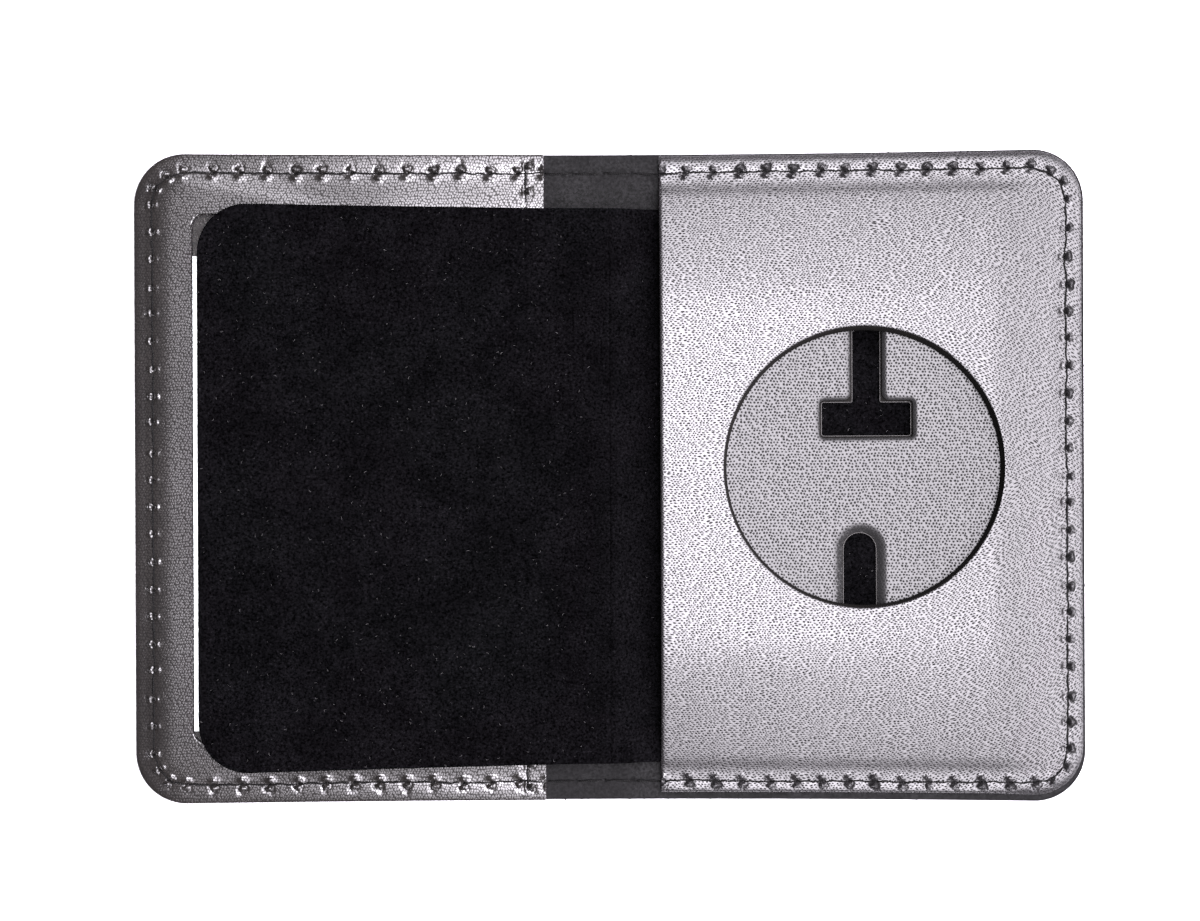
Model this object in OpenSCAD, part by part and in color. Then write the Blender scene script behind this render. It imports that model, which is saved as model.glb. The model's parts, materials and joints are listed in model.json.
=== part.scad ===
// Badge wallet, lying open: a card pocket with a clear window on the left,
// a round badge recess on the right, and a velvet faced flap between them.
// X runs across the open wallet, Y up its height, Z up from the table.
// The fold line is at X 0, and the origin is on the table under it.

/* [ID card] */
// Short side of the card, which lies across the pocket
card_w = 54; // [40:0.5:70]
// Long side of the card, which stands up in the pocket
card_h = 85.6; // [70:0.1:100]
// Thickness of the card
card_t = 0.76; // [0.4:0.02:1.2]
// Corner radius of the card
card_r = 3.2; // [1:0.1:5]
// Cover that shows above the card
above_card = 18.4; // [15:0.1:26]
// Cover that shows below the card
below_card = 13; // [11:0.1:22]
// Depth of the card's inner edge inside the pocket mouth
card_in = 13.8; // [8:0.1:20]
// Gap between the card and the leather slope at the pocket's far end
card_side_gap = 0.3; // [0.2:0.05:1]
// Gap over and under the card
card_gap = 0.1; // [0.05:0.01:0.3]

/* [Cover] */
// Thickness of the outer cover leather
cover_t = 1.2; // [0.9:0.05:2]
// Outer corner radius of the cover
cover_r = 9.3; // [7:0.1:14]
// Thickness of the lining
lining_t = 0.4; // [0.2:0.05:0.8]
// Fold line to the pocket mouth
spine_left = 11.8; // [9:0.1:16]
// Fold line to the badge panel's edge
spine_right = 9.3; // [7:0.1:13]

/* [ID pocket] */
// Thickness of the clear window sheet
window_t = 0.3; // [0.15:0.05:0.5]
// Thickness of the window frame leather
frame_t = 0.9; // [0.6:0.05:1.4]
// Sewn rim of the pocket, edge to foot of its slope
pocket_rim = 4.2; // [4:0.05:4.8]
// Run of the slope that the card lifts in the leather
pocket_slope = 1.8; // [1.2:0.1:3]
// Leather left of the window
window_side = 9.6; // [8.5:0.1:16]
// Leather above and below the window
window_ends = 10.85; // [9:0.05:20]
// Leather between the window and the pocket mouth
window_mouth = 15.8; // [8:0.1:24]
// Corner radius of the window
window_r = 2.2; // [0.5:0.1:6]

/* [Badge panel] */
// Thickness of the panel's leather skin
skin_t = 0.9; // [0.6:0.05:1.4]
// Thickness of the board that gives the recess its depth
board_t = 1.8; // [1.2:0.1:3]
// Thickness of the leather that the badge lies on
seat_t = 0.9; // [0.6:0.05:1.4]
// Thickness of the stiffener under it
stiffener_t = 0.5; // [0.3:0.05:1]
// Cover left bare outside the skin's far edge
skin_far_step = 0.4; // [0.1:0.05:0.6]
// Cover left bare below the skin
skin_low_step = 0.7; // [0.1:0.05:1]
// Cover left bare above the skin
skin_high_step = 0.2; // [0.05:0.05:0.3]
// Sewn rim of the skin, edge to foot of its slope
panel_rim = 3.6; // [3.55:0.05:5]
// Run of the skin's slope
panel_slope = 8; // [6:0.1:12]
// Corner radius where the slope meets the panel's top
crest_r = 6; // [2:0.5:14]
// Step of the layers behind the skin's edge at the spine
layer_step = 0.8; // [0.2:0.1:2]

/* [Badge recess] */
// Diameter of the round recess
badge_d = 50.4; // [40:0.1:54]
// Panel top left between the recess and the far slope
badge_side = 3.2; // [2:0.1:6]
// Height of the recess centre above the wallet's middle
badge_rise = 1.65; // [-3:0.05:4]

/* [Badge slots] */
// Width of the upper slot's stem
stem_w = 5.8; // [5.2:0.1:8]
// Width of the upper slot's cross bar
bar_w = 16.9; // [12:0.1:22]
// Height of the cross bar
bar_h = 6.85; // [5.4:0.05:9]
// Recess centre to the foot of the cross bar
bar_rise = 5.2; // [3:0.1:8]
// Corner radius of the cross bar
bar_r = 0.7; // [0.3:0.1:2]
// Upper slot's middle, right of the recess centre
bar_shift = 0.7; // [-2:0.1:2]
// Width of the lower, round topped slot
lower_w = 8.65; // [7.2:0.05:11]
// Recess centre down to the top of the lower slot
lower_drop = 10.5; // [8:0.1:14]
// Lower slot's middle, left of the recess centre
lower_shift = 0.55; // [-2:0.05:2]
// Stiffener that shows inside the upper slot
upper_lip = 0.45; // [0.1:0.05:0.5]
// Stiffener that shows inside the lower slot
lower_lip = 1.4; // [0.3:0.1:1.5]
// Run of each slot under the board, past the recess
slot_run = 3.5; // [1:0.1:6]

/* [Flap] */
// Thickness of the flap's leather
flap_leather_t = 0.7; // [0.5:0.05:1]
// Thickness of the velvet on it
flap_velvet_t = 0.4; // [0.2:0.05:0.6]
// Fold line to the flap's free edge
flap_reach = 75; // [55:0.5:80]
// Cover's top edge to the flap's top edge
flap_high_gap = 9.7; // [8.5:0.1:20]
// Cover's bottom edge to the flap's bottom edge
flap_low_gap = 6.2; // [4.5:0.1:16]
// Corner radius of the flap's free end
flap_r = 9; // [3:0.5:15]
// Gap between the flap and the thread under it
flap_gap = 0.1; // [0.05:0.05:0.5]
// Gap between the flap and what folds over on it
fold_gap = 0.3; // [0.2:0.05:0.5]
// Width of the crease where the flap turns
crease_w = 0.8; // [0.5:0.1:1.4]
// How much narrower the flap is at its root, at the top
root_trim = 0.4; // [0:0.1:2]

/* [Seams] */
// Cover's edge to the perimeter seam
seam_inset = 3.4; // [3.1:0.05:3.5]
// Length of one stitch, hole to hole
stitch_pitch = 4.9; // [3:0.1:6]
// Length of one stitch round a corner
corner_pitch = 3.1; // [2:0.1:3.5]
// Gap between the ends of two stitches
stitch_gap = 0.5; // [0.3:0.05:0.9]
// Diameter of the thread
thread_d = 0.46; // [0.35:0.01:0.6]
// Width of the groove that holds the outer stitches
groove_w = 1.3; // [1.2:0.05:1.5]
// Depth of that groove
groove_depth = 0.5; // [0.4:0.05:0.7]
// Pocket mouth to the seam that runs beside it
mouth_seam_in = 3.3; // [2:0.1:5]
// Cover's edge to the ends of that seam
mouth_seam_ends = 1.6; // [0.6:0.1:1.8]

/* [Hidden] */

// Overrun of every cut
over = 0.5;
// Thickness of the slabs that a slope is stretched between
film = 0.01;
// Smallest corner radius
least_r = 1;
// Gap between a layer's edge and the slope over it
layer_gap = 0.3;
// Steps along the flap's curve, and facets of a stretched corner
curve_steps = 14;
corner_facets = 32;

// Sizes of the open wallet
pocket_inner_gap = pocket_rim + pocket_slope + card_side_gap;
window_ease = window_t * tan(atan2(card_t + 2 * card_gap, pocket_slope) / 2);
half_w = spine_left + card_in + card_w + pocket_inner_gap + window_ease;
cover_h = card_h + above_card + below_card;
half_h = cover_h / 2;

// Heights above the table
base_z = cover_t + lining_t;
card_z = base_z + card_gap;
card_space = card_t + 2 * card_gap;
frame_top = base_z + card_space + window_t + frame_t;
flap_t = flap_leather_t + flap_velvet_t;
root_top = base_z + flap_t;
stiffener_top = root_top + stiffener_t;
seat_top = stiffener_top + seat_t;
board_top = seat_top + board_t;
panel_top = board_top + skin_t;
leaf_z = frame_top + thread_d / 2 + flap_gap;
leaf_top = leaf_z + flap_t;
// The fold axis is half way between the two faces that meet when shut
fold_z = (panel_top + leaf_top + fold_gap) / 2;
crease_z = fold_z - fold_gap / 2 - flap_t;

// Slopes: how far a surface moves in over a layer's thickness
pocket_turn = atan2(card_space, pocket_slope);
frame_ease = frame_t * tan(pocket_turn / 2);
panel_rise = board_top - base_z;
skin_ease = skin_t * tan(atan2(panel_rise, panel_slope) / 2);

// Each panel's far, low and high edges, from the fold line and the middle
cover_edges = [half_w, half_h, half_h];
skin_edges = [half_w - skin_far_step, half_h - skin_low_step, half_h - skin_high_step];

// Places of the card, the recess and the flap
card_far = spine_left + card_in + card_w;
card_low = half_h - below_card;
badge_r = badge_d / 2;
badge_x = skin_edges[0] - panel_rim - panel_slope - badge_side - badge_r;
crease_half = crease_w / 2;
curve_end = spine_right - layer_gap;
leaf_high = half_h - flap_high_gap;
leaf_low = half_h - flap_low_gap;
root_high = leaf_high - root_trim;

// Inset of the skin's underside where it is at height z
function under_skin(z) = panel_rim + skin_ease + panel_slope * (z - base_z) / panel_rise;
function layer_edges(z) = [for (e = skin_edges) e - under_skin(z) - layer_gap];
// Corner radius of an outline that lies inside the cover's edge
function inner_r(inset) = max(cover_r - inset, least_r);
// A curve from 0 to 1 with level ends
function glide(t) = t * t * (3 - 2 * t);
function clamp(t) = min(max(t, 0), 1);
// Height of a flap ply's underside at distance x from the fold line
function ply_z(x, rest) = rest + (crease_z - rest)
    * glide(clamp((curve_end - x) / (curve_end - crease_half)));

// Seam outline on one side of the fold
seam_r = cover_r - seam_inset;
seam_far = half_w - seam_inset;
seam_high = half_h - seam_inset;
function count(len, pitch) = max(1, round(len / pitch));
// Holes along a straight run, without the last
function run_holes(p, q) = let (n = count(norm(q - p), stitch_pitch))
    [for (i = [0 : n - 1]) p + (q - p) * i / n];
// Holes round a corner, without the last
function arc_holes(c, r, a0, a1) = let (n = count(r * PI * abs(a1 - a0) / 180, corner_pitch))
    [for (i = [0 : n - 1]) let (a = a0 + (a1 - a0) * i / n) c + r * [cos(a), sin(a), 0]];
// Holes of the seam round three sides of a panel
function panel_holes(near, z) = concat(
    run_holes([near, seam_high, z], [seam_far - seam_r, seam_high, z]),
    arc_holes([seam_far - seam_r, seam_high - seam_r, z], seam_r, 90, 0),
    run_holes([seam_far, seam_high - seam_r, z], [seam_far, seam_r - seam_high, z]),
    arc_holes([seam_far - seam_r, seam_r - seam_high, z], seam_r, 0, -90),
    run_holes([seam_far - seam_r, -seam_high, z], [near, -seam_high, z]),
    [[near, -seam_high, z]]
);
// Seam beside the pocket mouth: a stitch past the perimeter seam at each end, and a row
// from the foot of one slope over the frame to the foot of the other
mouth_x = spine_left + mouth_seam_in;
frame_rim = base_z + window_t + frame_t;
frame_foot = half_h - pocket_rim + frame_ease;
frame_crest = frame_foot - pocket_slope;
mouth_out = half_h - mouth_seam_ends;
mouth_holes = concat(
    run_holes([mouth_x, frame_foot, frame_rim], [mouth_x, frame_crest, frame_top]),
    run_holes([mouth_x, frame_crest, frame_top], [mouth_x, -frame_crest, frame_top]),
    run_holes([mouth_x, -frame_crest, frame_top], [mouth_x, -frame_foot, frame_rim]),
    [[mouth_x, -frame_foot, frame_rim]]
);

// Outline from near to far, round at its far corners
module half_plate(near, edges, inset, r) {
    far = edges[0] - inset;
    low = edges[1] - inset;
    high = edges[2] - inset;
    translate([near, -low]) square([far - near - r, low + high]);
    translate([near, r - low]) square([far - near, low + high - 2 * r]);
    translate([far - r, high - r]) circle(r);
    translate([far - r, r - low]) circle(r);
}

// Rectangle with round corners, from a low corner and a size
module round_box(corner, size, r) {
    translate([corner[0] + r, corner[1]]) square([size[0] - 2 * r, size[1]]);
    translate([corner[0], corner[1] + r]) square([size[0], size[1] - 2 * r]);
    for (x = [r, size[0] - r], y = [r, size[1] - r])
        translate([corner[0] + x, corner[1] + y]) circle(r);
}

// Flat slab between two heights
module slab(z0, z1) {
    translate([0, 0, z0]) linear_extrude(z1 - z0) children();
}

// What works on the right of the fold line, set on its left
module on_left() {
    mirror([1, 0, 0]) children();
}

// Solid under a slope that climbs from a foot to a crest on three sides
module mound(near, edges, foot, crest, crest_corner, z0, z1, top) {
    hull() {
        slab(z0, z1)
            half_plate(near, edges, foot, inner_r(foot), $fn = corner_facets);
        slab(top - film, top)
            half_plate(near, edges, crest, crest_corner, $fn = corner_facets);
    }
}

// Groove under the cover that the outer stitches lie in
module groove() {
    translate([0, 0, -over]) linear_extrude(groove_depth + over) difference() {
        groove_line(seam_inset - groove_w / 2);
        groove_line(seam_inset + groove_w / 2);
    }
}

module groove_line(inset) {
    w = 2 * (half_w - inset);
    h = 2 * (half_h - inset);
    round_box([-w / 2, -h / 2], [w, h], cover_r - inset);
}

// Half round stitch that lies on the line between two holes
module stitch(p, q) {
    d = q - p;
    len = norm(d);
    translate(p) rotate([0, -asin(d[2] / len), atan2(d[1], d[0])])
        translate([stitch_gap / 2, 0, 0]) rotate([90, 0, 90])
            linear_extrude(len - stitch_gap) intersection() {
                circle(d = thread_d);
                translate([-thread_d, 0]) square([2 * thread_d, thread_d]);
            }
}

module stitches(holes) {
    for (i = [0 : len(holes) - 2]) stitch(holes[i], holes[i + 1]);
}

// The same seam seen from outside, hung from the roof of the groove
module outer_stitches(holes) {
    translate([0, 0, groove_depth]) mirror([0, 0, 1]) stitches(holes);
}

// One ply of the flap, on the right of the fold line
module ply(rest, lift, t, edges, r) {
    xs = concat(
        [for (i = [0 : curve_steps])
            crease_half + (curve_end - crease_half) * i / curve_steps],
        [edges[0]]
    );
    n = len(xs);
    under = [for (x = xs) [x, ply_z(x, rest) + lift]];
    above = [for (i = [1 : n]) under[n - i] + [0, t]];
    intersection() {
        translate([0, edges[2] + over, 0]) rotate([90, 0, 0])
            linear_extrude(edges[1] + edges[2] + 2 * over) polygon(concat(under, above));
        slab(0, fold_z) half_plate(crease_half, edges, 0, r);
    }
}

// Outer cover, one leather, in its two flat halves and the spine that bends
module cover_half(near) {
    difference() {
        slab(0, cover_t) half_plate(near, cover_edges, 0, cover_r);
        groove();
    }
}

module cover_left() {
    color("#24201f") on_left() cover_half(spine_left);
}

module cover_right() {
    color("#24201f") cover_half(spine_right);
}

module cover_spine() {
    color("#24201f") difference() {
        translate([-spine_left, -half_h, 0]) cube([spine_left + spine_right, cover_h, cover_t]);
        groove();
    }
}

// Lining, glued over the inside of the cover
module lining_left() {
    color("#4f4742") on_left()
        slab(cover_t, base_z) half_plate(spine_left, cover_edges, 0, cover_r);
}

module lining_right() {
    color("#4b4a4c") slab(cover_t, base_z) half_plate(spine_right, cover_edges, 0, cover_r);
}

module lining_spine() {
    color("#4b4a4c") translate([-spine_left, -half_h, cover_t])
        cube([spine_left + spine_right, cover_h, lining_t]);
}

// Space for the card and, with a lift, the solid under the clear window's top
module pocket_mound(near, ease, z0, z1, lift) {
    crest = pocket_rim + pocket_slope + ease;
    mound(near, cover_edges, pocket_rim + ease, crest, inner_r(crest),
        z0, z1, base_z + card_space + lift);
}

// Clear sheet of the ID window, sewn in under the frame
module clear_window() {
    color("#dfe6ea", 0.35) on_left() difference() {
        union() {
            slab(base_z, base_z + window_t) half_plate(spine_left, cover_edges, 0, cover_r);
            pocket_mound(spine_left, 0, base_z, base_z + window_t, window_t);
        }
        pocket_mound(spine_left - over, window_ease, base_z - over, base_z, 0);
    }
}

// Leather frame over the clear sheet, open at the pocket mouth
module window_frame() {
    low = base_z + window_t;
    window_w = half_w - spine_left - window_side - window_mouth;
    color("#5a5451") on_left() difference() {
        union() {
            slab(low, low + frame_t) half_plate(spine_left, cover_edges, 0, cover_r);
            pocket_mound(spine_left, -frame_ease, low, low + frame_t, window_t + frame_t);
        }
        pocket_mound(spine_left - over, 0, low - over, low, window_t);
        slab(base_z, frame_top + over)
            round_box([spine_left + window_mouth, window_ends - half_h],
                [window_w, cover_h - 2 * window_ends], window_r);
    }
}

// Card in the pocket
module id_card() {
    color("#f3f4f4") slab(card_z, card_z + card_t)
        round_box([-card_far, -card_low], [card_w, card_h], card_r);
}

// Leather skin of the badge panel, drawn down to its sewn rim on three sides
module badge_skin() {
    crest = panel_rim + panel_slope;
    color("#8c8a90") difference() {
        union() {
            slab(base_z, base_z + skin_t)
                half_plate(spine_right, skin_edges, 0, cover_r - skin_far_step);
            mound(spine_right, skin_edges, panel_rim, crest, crest_r,
                base_z, base_z + skin_t, panel_top);
        }
        mound(spine_right - over, skin_edges, panel_rim + skin_ease, crest + skin_ease,
            crest_r, base_z - over, base_z, board_top);
        recess();
    }
}

// Round recess, cut down to the seat
module recess() {
    translate([badge_x, badge_rise, seat_top]) cylinder(h = panel_top, r = badge_r);
}

// Board under the skin, with the recess cut through it
module badge_board() {
    color("#2c2927") difference() {
        slab(seat_top, board_top)
            half_plate(spine_right + layer_step, layer_edges(board_top), 0, crest_r);
        translate([0, 0, -over]) recess();
    }
}

// Leather at the bottom of the recess, with the two slots for the badge's fittings
module badge_seat() {
    color("#77767a") difference() {
        slab(stiffener_top, seat_top)
            half_plate(spine_right, layer_edges(seat_top), 0, crest_r);
        slab(base_z, seat_top + over) slots(0, 0);
    }
}

// Stiffener under the seat, its slots a little smaller
module slot_stiffener() {
    color("#9a9896") difference() {
        slab(root_top, stiffener_top)
            half_plate(spine_right + layer_step, layer_edges(stiffener_top), 0, crest_r);
        slab(base_z, stiffener_top + over) slots(upper_lip, lower_lip);
    }
}

// Outlines of both slots, drawn in by a lip
module slots(upper, lower) {
    reach = badge_r + slot_run;
    translate([badge_x + bar_shift, badge_rise]) {
        round_box([upper - bar_w / 2, bar_rise + upper],
            [bar_w - 2 * upper, bar_h - 2 * upper], bar_r);
        translate([upper - stem_w / 2, bar_rise + bar_h / 2])
            square([stem_w - 2 * upper, reach - bar_rise - bar_h / 2]);
    }
    lower_r = lower_w / 2 - lower;
    translate([badge_x - lower_shift, badge_rise - lower_drop - lower - lower_r]) {
        circle(lower_r);
        translate([-lower_r, lower_drop + lower + lower_r - reach])
            square([2 * lower_r, reach - lower_drop - lower - lower_r]);
    }
}

// Free part of the flap, lying over the ID window
leaf_edges = [flap_reach, leaf_low, leaf_high];

module flap_leather() {
    color("#1d1b1b") on_left() ply(leaf_z, 0, flap_leather_t, leaf_edges, flap_r);
}

module flap_velvet() {
    color("#0c0c0e") on_left()
        ply(leaf_z, flap_leather_t, flap_velvet_t, leaf_edges, flap_r);
}

// Root of the same flap, which runs on under the whole badge panel
root_limits = layer_edges(root_top);
root_edges = [root_limits[0], root_limits[1], root_high];

module flap_root_leather() {
    color("#1d1b1b") ply(base_z, 0, flap_leather_t, root_edges, crest_r);
}

module flap_root_velvet() {
    color("#0c0c0e") ply(base_z, flap_leather_t, flap_velvet_t, root_edges, crest_r);
}

// Thread of each seam, seen on the inside and on the outside
module id_seam() {
    color("#15120f") on_left() {
        stitches(panel_holes(spine_left, frame_rim));
        outer_stitches(panel_holes(spine_left, 0));
    }
}

module badge_seam() {
    color("#15120f") {
        stitches(panel_holes(spine_right, base_z + skin_t));
        outer_stitches(panel_holes(spine_right, 0));
    }
}

// Holes of the seam across the spine, at the top and at the bottom
function spine_holes(y, z) = concat(
    run_holes([-spine_left, y, z], [spine_right, y, z]), [[spine_right, y, z]]);

module spine_seam() {
    color("#15120f") for (y = [-seam_high, seam_high]) {
        stitches(spine_holes(y, base_z));
        outer_stitches(spine_holes(y, 0));
    }
}

module mouth_seam() {
    color("#15120f") on_left() {
        stitches(mouth_holes);
        for (side = [-1, 1])
            stitch([mouth_x, side * mouth_out, frame_rim],
                [mouth_x, side * (seam_high + thread_d), frame_rim]);
    }
}

cover_left();
cover_spine();
cover_right();
lining_left();
lining_spine();
lining_right();
clear_window();
window_frame();
id_card();
badge_skin();
badge_board();
badge_seat();
slot_stiffener();
flap_leather();
flap_velvet();
flap_root_leather();
flap_root_velvet();
id_seam();
badge_seam();
spine_seam();
mouth_seam();
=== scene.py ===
"""Dresses an open badge wallet: leather, velvet, clear window, card, recess and seams.

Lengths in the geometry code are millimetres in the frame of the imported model. Meshes are
stored in metres, with every finished object at the origin.
"""

import json
import math

import bpy
import numpy as np
from bpy.props import FloatProperty, FloatVectorProperty, IntProperty, PointerProperty
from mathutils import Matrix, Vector
from mathutils.geometry import delaunay_2d_cdt


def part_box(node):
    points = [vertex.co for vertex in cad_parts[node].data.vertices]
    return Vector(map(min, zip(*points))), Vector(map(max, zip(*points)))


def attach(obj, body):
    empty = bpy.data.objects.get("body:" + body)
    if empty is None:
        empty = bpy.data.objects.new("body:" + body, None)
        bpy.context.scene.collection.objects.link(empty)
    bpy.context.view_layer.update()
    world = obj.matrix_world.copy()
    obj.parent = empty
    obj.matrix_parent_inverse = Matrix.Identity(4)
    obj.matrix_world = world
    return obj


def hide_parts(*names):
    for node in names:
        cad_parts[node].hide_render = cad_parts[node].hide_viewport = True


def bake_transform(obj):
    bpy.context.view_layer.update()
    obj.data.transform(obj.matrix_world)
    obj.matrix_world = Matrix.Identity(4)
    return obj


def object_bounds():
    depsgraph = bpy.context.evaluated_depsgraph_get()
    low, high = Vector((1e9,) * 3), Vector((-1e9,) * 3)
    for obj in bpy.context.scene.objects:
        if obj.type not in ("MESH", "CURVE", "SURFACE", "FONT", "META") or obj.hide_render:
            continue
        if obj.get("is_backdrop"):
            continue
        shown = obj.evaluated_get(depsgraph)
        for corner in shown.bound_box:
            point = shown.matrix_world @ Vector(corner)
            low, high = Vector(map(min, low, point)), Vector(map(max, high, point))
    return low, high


bl_info = {
    "name": "Badge Wallet",
    "version": (1, 0, 0),
    "blender": (4, 5, 0),
    "location": "3D View > Sidebar > Wallet",
    "description": "Builds the leather, velvet, window, card and seams of an open badge wallet",
    "category": "Add Mesh",
}

MM = 0.001
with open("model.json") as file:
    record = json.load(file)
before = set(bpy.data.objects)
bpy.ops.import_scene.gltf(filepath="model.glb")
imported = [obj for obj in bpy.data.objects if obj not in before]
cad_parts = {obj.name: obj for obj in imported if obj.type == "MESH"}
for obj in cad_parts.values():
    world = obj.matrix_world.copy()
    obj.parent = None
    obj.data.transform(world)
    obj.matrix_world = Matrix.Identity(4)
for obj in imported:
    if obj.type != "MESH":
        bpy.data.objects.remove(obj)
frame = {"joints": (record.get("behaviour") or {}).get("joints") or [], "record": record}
CAD_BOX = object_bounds()


def box_mm(node):
    """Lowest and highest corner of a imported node, in millimetres."""
    low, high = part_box(node)
    return np.array(low) / MM, np.array(high) / MM


def joint_mm(name):
    """Place of a joint, in millimetres."""
    found = next(joint for joint in frame["joints"] if joint["name"] == name)
    return np.array(found["pos_m"]) / MM


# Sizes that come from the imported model
HALF_W, HALF_H, COVER_T = box_mm("cover_right")[1]
SPINE_X0 = box_mm("cover_spine")[0][0]
SPINE_X1 = box_mm("cover_spine")[1][0]
FRAME_X1 = box_mm("window_frame")[1][0]
BASE_Z = box_mm("lining_spine")[1][2]
FRAME_TOP = box_mm("window_frame")[1][2]
FRAME_UNDER = box_mm("window_frame")[0][2]
SKIN_LOW, SKIN_HIGH = box_mm("badge_skin")
BOARD_LOW, BOARD_HIGH = box_mm("badge_board")
SEAT_LOW, SEAT_HIGH = box_mm("badge_seat")
STIFF_LOW, STIFF_HIGH = box_mm("slot_stiffener")
CARD_LOW, CARD_HIGH = box_mm("id_card")
LEAF_LOW, LEAF_HIGH = box_mm("flap_velvet")
LEAF_UNDER = box_mm("flap_leather")[0][2]
ROOT_LOW, ROOT_HIGH = box_mm("flap_root_velvet")
FOLD_Z = joint_mm("flap_turn")[2]
RECESS = next(mount for mount in frame["record"]["mounts"] if mount["name"] == "badge_recess")
BADGE_X, BADGE_Y = RECESS["pos_m"][0] / MM, RECESS["pos_m"][1] / MM
BADGE_R = RECESS["dims"]["r_mm"]

# Corner radii, with plainly cut corners last, and a distance beyond every edge
CORNER_R = 9.3
WINDOW_R = 2.2
CARD_R = 3.2
FLAP_R = 9.0
CREST_R = 6.0
BLUNT_R = 0.3
CUT_R = 0.2
FOLD_R = 0.05
FAR = 4 * HALF_W

# Layers, and on each side of the fold line the stretch that gets a finer mesh, where the cover
# would bend
LEATHER_T = 0.9
SHEET_T = 0.3
PLY_LEATHER = 0.7
PLY_VELVET = 0.4
FOLD_BAND = 7.5

# Rounding of the cut edges
COVER_ROLL = (0.12, 0.35)
LINING_ROLL = (0.12, 0.06)
FRAME_ROLL = 0.05
SHEET_ROLL = 0.05
CARD_ROLL = 0.12
STIFF_ROLL = 0.06
FLAP_ROLL = 0.1
VELVET_ROLL = 0.25
HOLE_ROLL = 0.14
SPINE_ROLL, SPINE_ROLL_SHARE = 0.45, 0.6

# Pocket: slopes at the wallet's end and along its long edges, and where each face starts
POCKET_FOOT = 4.0
POCKET_RUN = (1.8, 5.4)
POCKET_SOFT = 0.4
FRAME_FOOT = 0.5
FRAME_RUN = 5.8
FRAME_DROP, FRAME_DROP_W = 0.3, 1.2
FRAME_START = 0.25
SHEET_STARTS = (0.2, 0.5)
CORNER_BLEND = 26
WINDOW = (-75.35, -27.6, -47.65, 47.65)

# Badge panel: its dome, and its rolled edge, which is narrower along the bottom
PANEL_FOOT = (3.3, 4.4)
PANEL_RUN = (14.0, 26.0)
UNDER_START = 0.22
DOME_SOFT = 0.5
STEP_SHARE, STEP_FROM, STEP_RUN = 0.05, 0.9, 2.2
SKIN_R = CORNER_R - 0.4
SKIN_OVER = 0.3
LOW_STEP = 0.42
SKIN_FOOT = SKIN_LOW[1] + LOW_STEP
SKIN_DROP, SKIN_DROP_W, SKIN_DROP_POWER = 0.86, 2.1, 2.2
CRISP_W = 1.3
CRISP_LOW, CRISP_LOW_RUN = 12, 9
CRISP_END, CRISP_END_RUN = 10, 8

# Flap: the curve between its root and its free part, and how its outline spreads
CURVE_END = 9.0
CREASE_GAP = 0.15
BEND = 3.2
LEAF_SPREAD = 0.75
LEAF_TOP_SPREAD = 0.7
CREASE_TOP = 0.4
ROOT_R = 2

# Recess: board, seat and stiffener
RECESS_INSET = (11.6, 20.0)
BOARD_LIP = 0.5
LIP_SHIFT = (0.07, -0.12)
LIP_BEVEL, LIP_POWER = 0.9, 1.5
BOARD_GAP = 0.03
BOARD_LEAST = 0.1
SEAT_GAP = 0.01
SINK_W, SINK = 0.85, 0.42
DROOP_LIP, DROOP_LEFT = 0.25, 0.1
DROOP_FROM, DROOP_RUN, DROOP_POWER = 0.6, 0.28, 1.8
# Painted shade on the seat where it sinks into the T slot and droops into the arch: how dark each
# gets
SINK_SHADE, DROOP_SHADE = 1.3, 1.5

# Slow waves in the leather: height, length and seed
FRAME_WAVES = (0.04, 22, 11)
SKIN_WAVES = (0.05, 26, 5)
SEAT_WAVES = (0.03, 9, 3)
FLAP_WAVES = (0.07, 30, 21)
FLAP_WAVE_RUN, FLAP_WAVE_SHARE = 12, 0.6

# The used leather spreads towards its ends: its height there, left and right
FLARE_REACH = 70
FLARE_MIDDLE = 0.998
FLARE_LEFT, FLARE_RIGHT = 0.0055, 0.0095

# Slots in the seat leather, from the recess centre
BAR_SHIFT = 0.7
BAR_W, BAR_LOW, BAR_H = 16.9, 5.2, 6.85
STEM_W = 5.8
BAR_R, NECK_R = 0.75, 1.35
LOWER_W, LOWER_DROP, LOWER_SHIFT = 8.65, 10.5, 0.55
SLOT_RUN = 3.5
SEAT_LIP = 0.05
UPPER_LIP, LOWER_LIP = 0.45, 1.4

# Seam lines
SEAM_INSET = 3.4
STITCH = 4.9
CORNER_STITCH = 3.1
PANEL_PUCKER = 1.35
MOUTH_SEAM_X = -15.1
MOUTH_SEAM_ENDS = 2.1
MOUTH_CREST = 6.6
STITCH_RISE = 0.06
STITCH_DIP = 0.6
STITCH_SINK = 0.1
THREAD_SWAY = (0.8, 0.8, 0.3)

# Lint: its distance from the bend of the flap, and the mix of its two shapes
LINT_GAP = 0.3
LINT_MIX = 0.16

# Groove of the seams on the outside, and the dents at their needle holes
GROOVE_Z = 0.5
GROOVE_FLOOR = 0.05
GROOVE_W = 0.62
GROOVE_THREAD = 0.17
DENT, DENT_AREA = 0.25, 0.3
DEEPEST = 0.85

# Heights of the finishes' slow waves and grooves, and the plies of the thread
LEATHER_SWELL = 0.2
SHEET_SWELL = 0.3
CARD_GRAIN = 0.004
PLY_GROOVE = 0.12
THREAD_PLIES = 3

# Seams on the lining across the spine
LINING_PRESS, LINING_PRESS_AREA = 0.1, 0.2
LINING_PIT, LINING_PIT_AREA, LINING_PIT_REACH = 0.3, 0.09, 1.2

# Needle holes: their sizes and lean, how much smaller they are at the wallet's left end, and
# the swelling on their inner side, which is less at the right end
HOLE_SIZES = (0.65, 1.3)
HOLE_LEAN = 0.22
HOLE_CALM = 0.45
HOLE_SWELL, HOLE_SWELL_FALL = 0.8, 1.3

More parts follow.
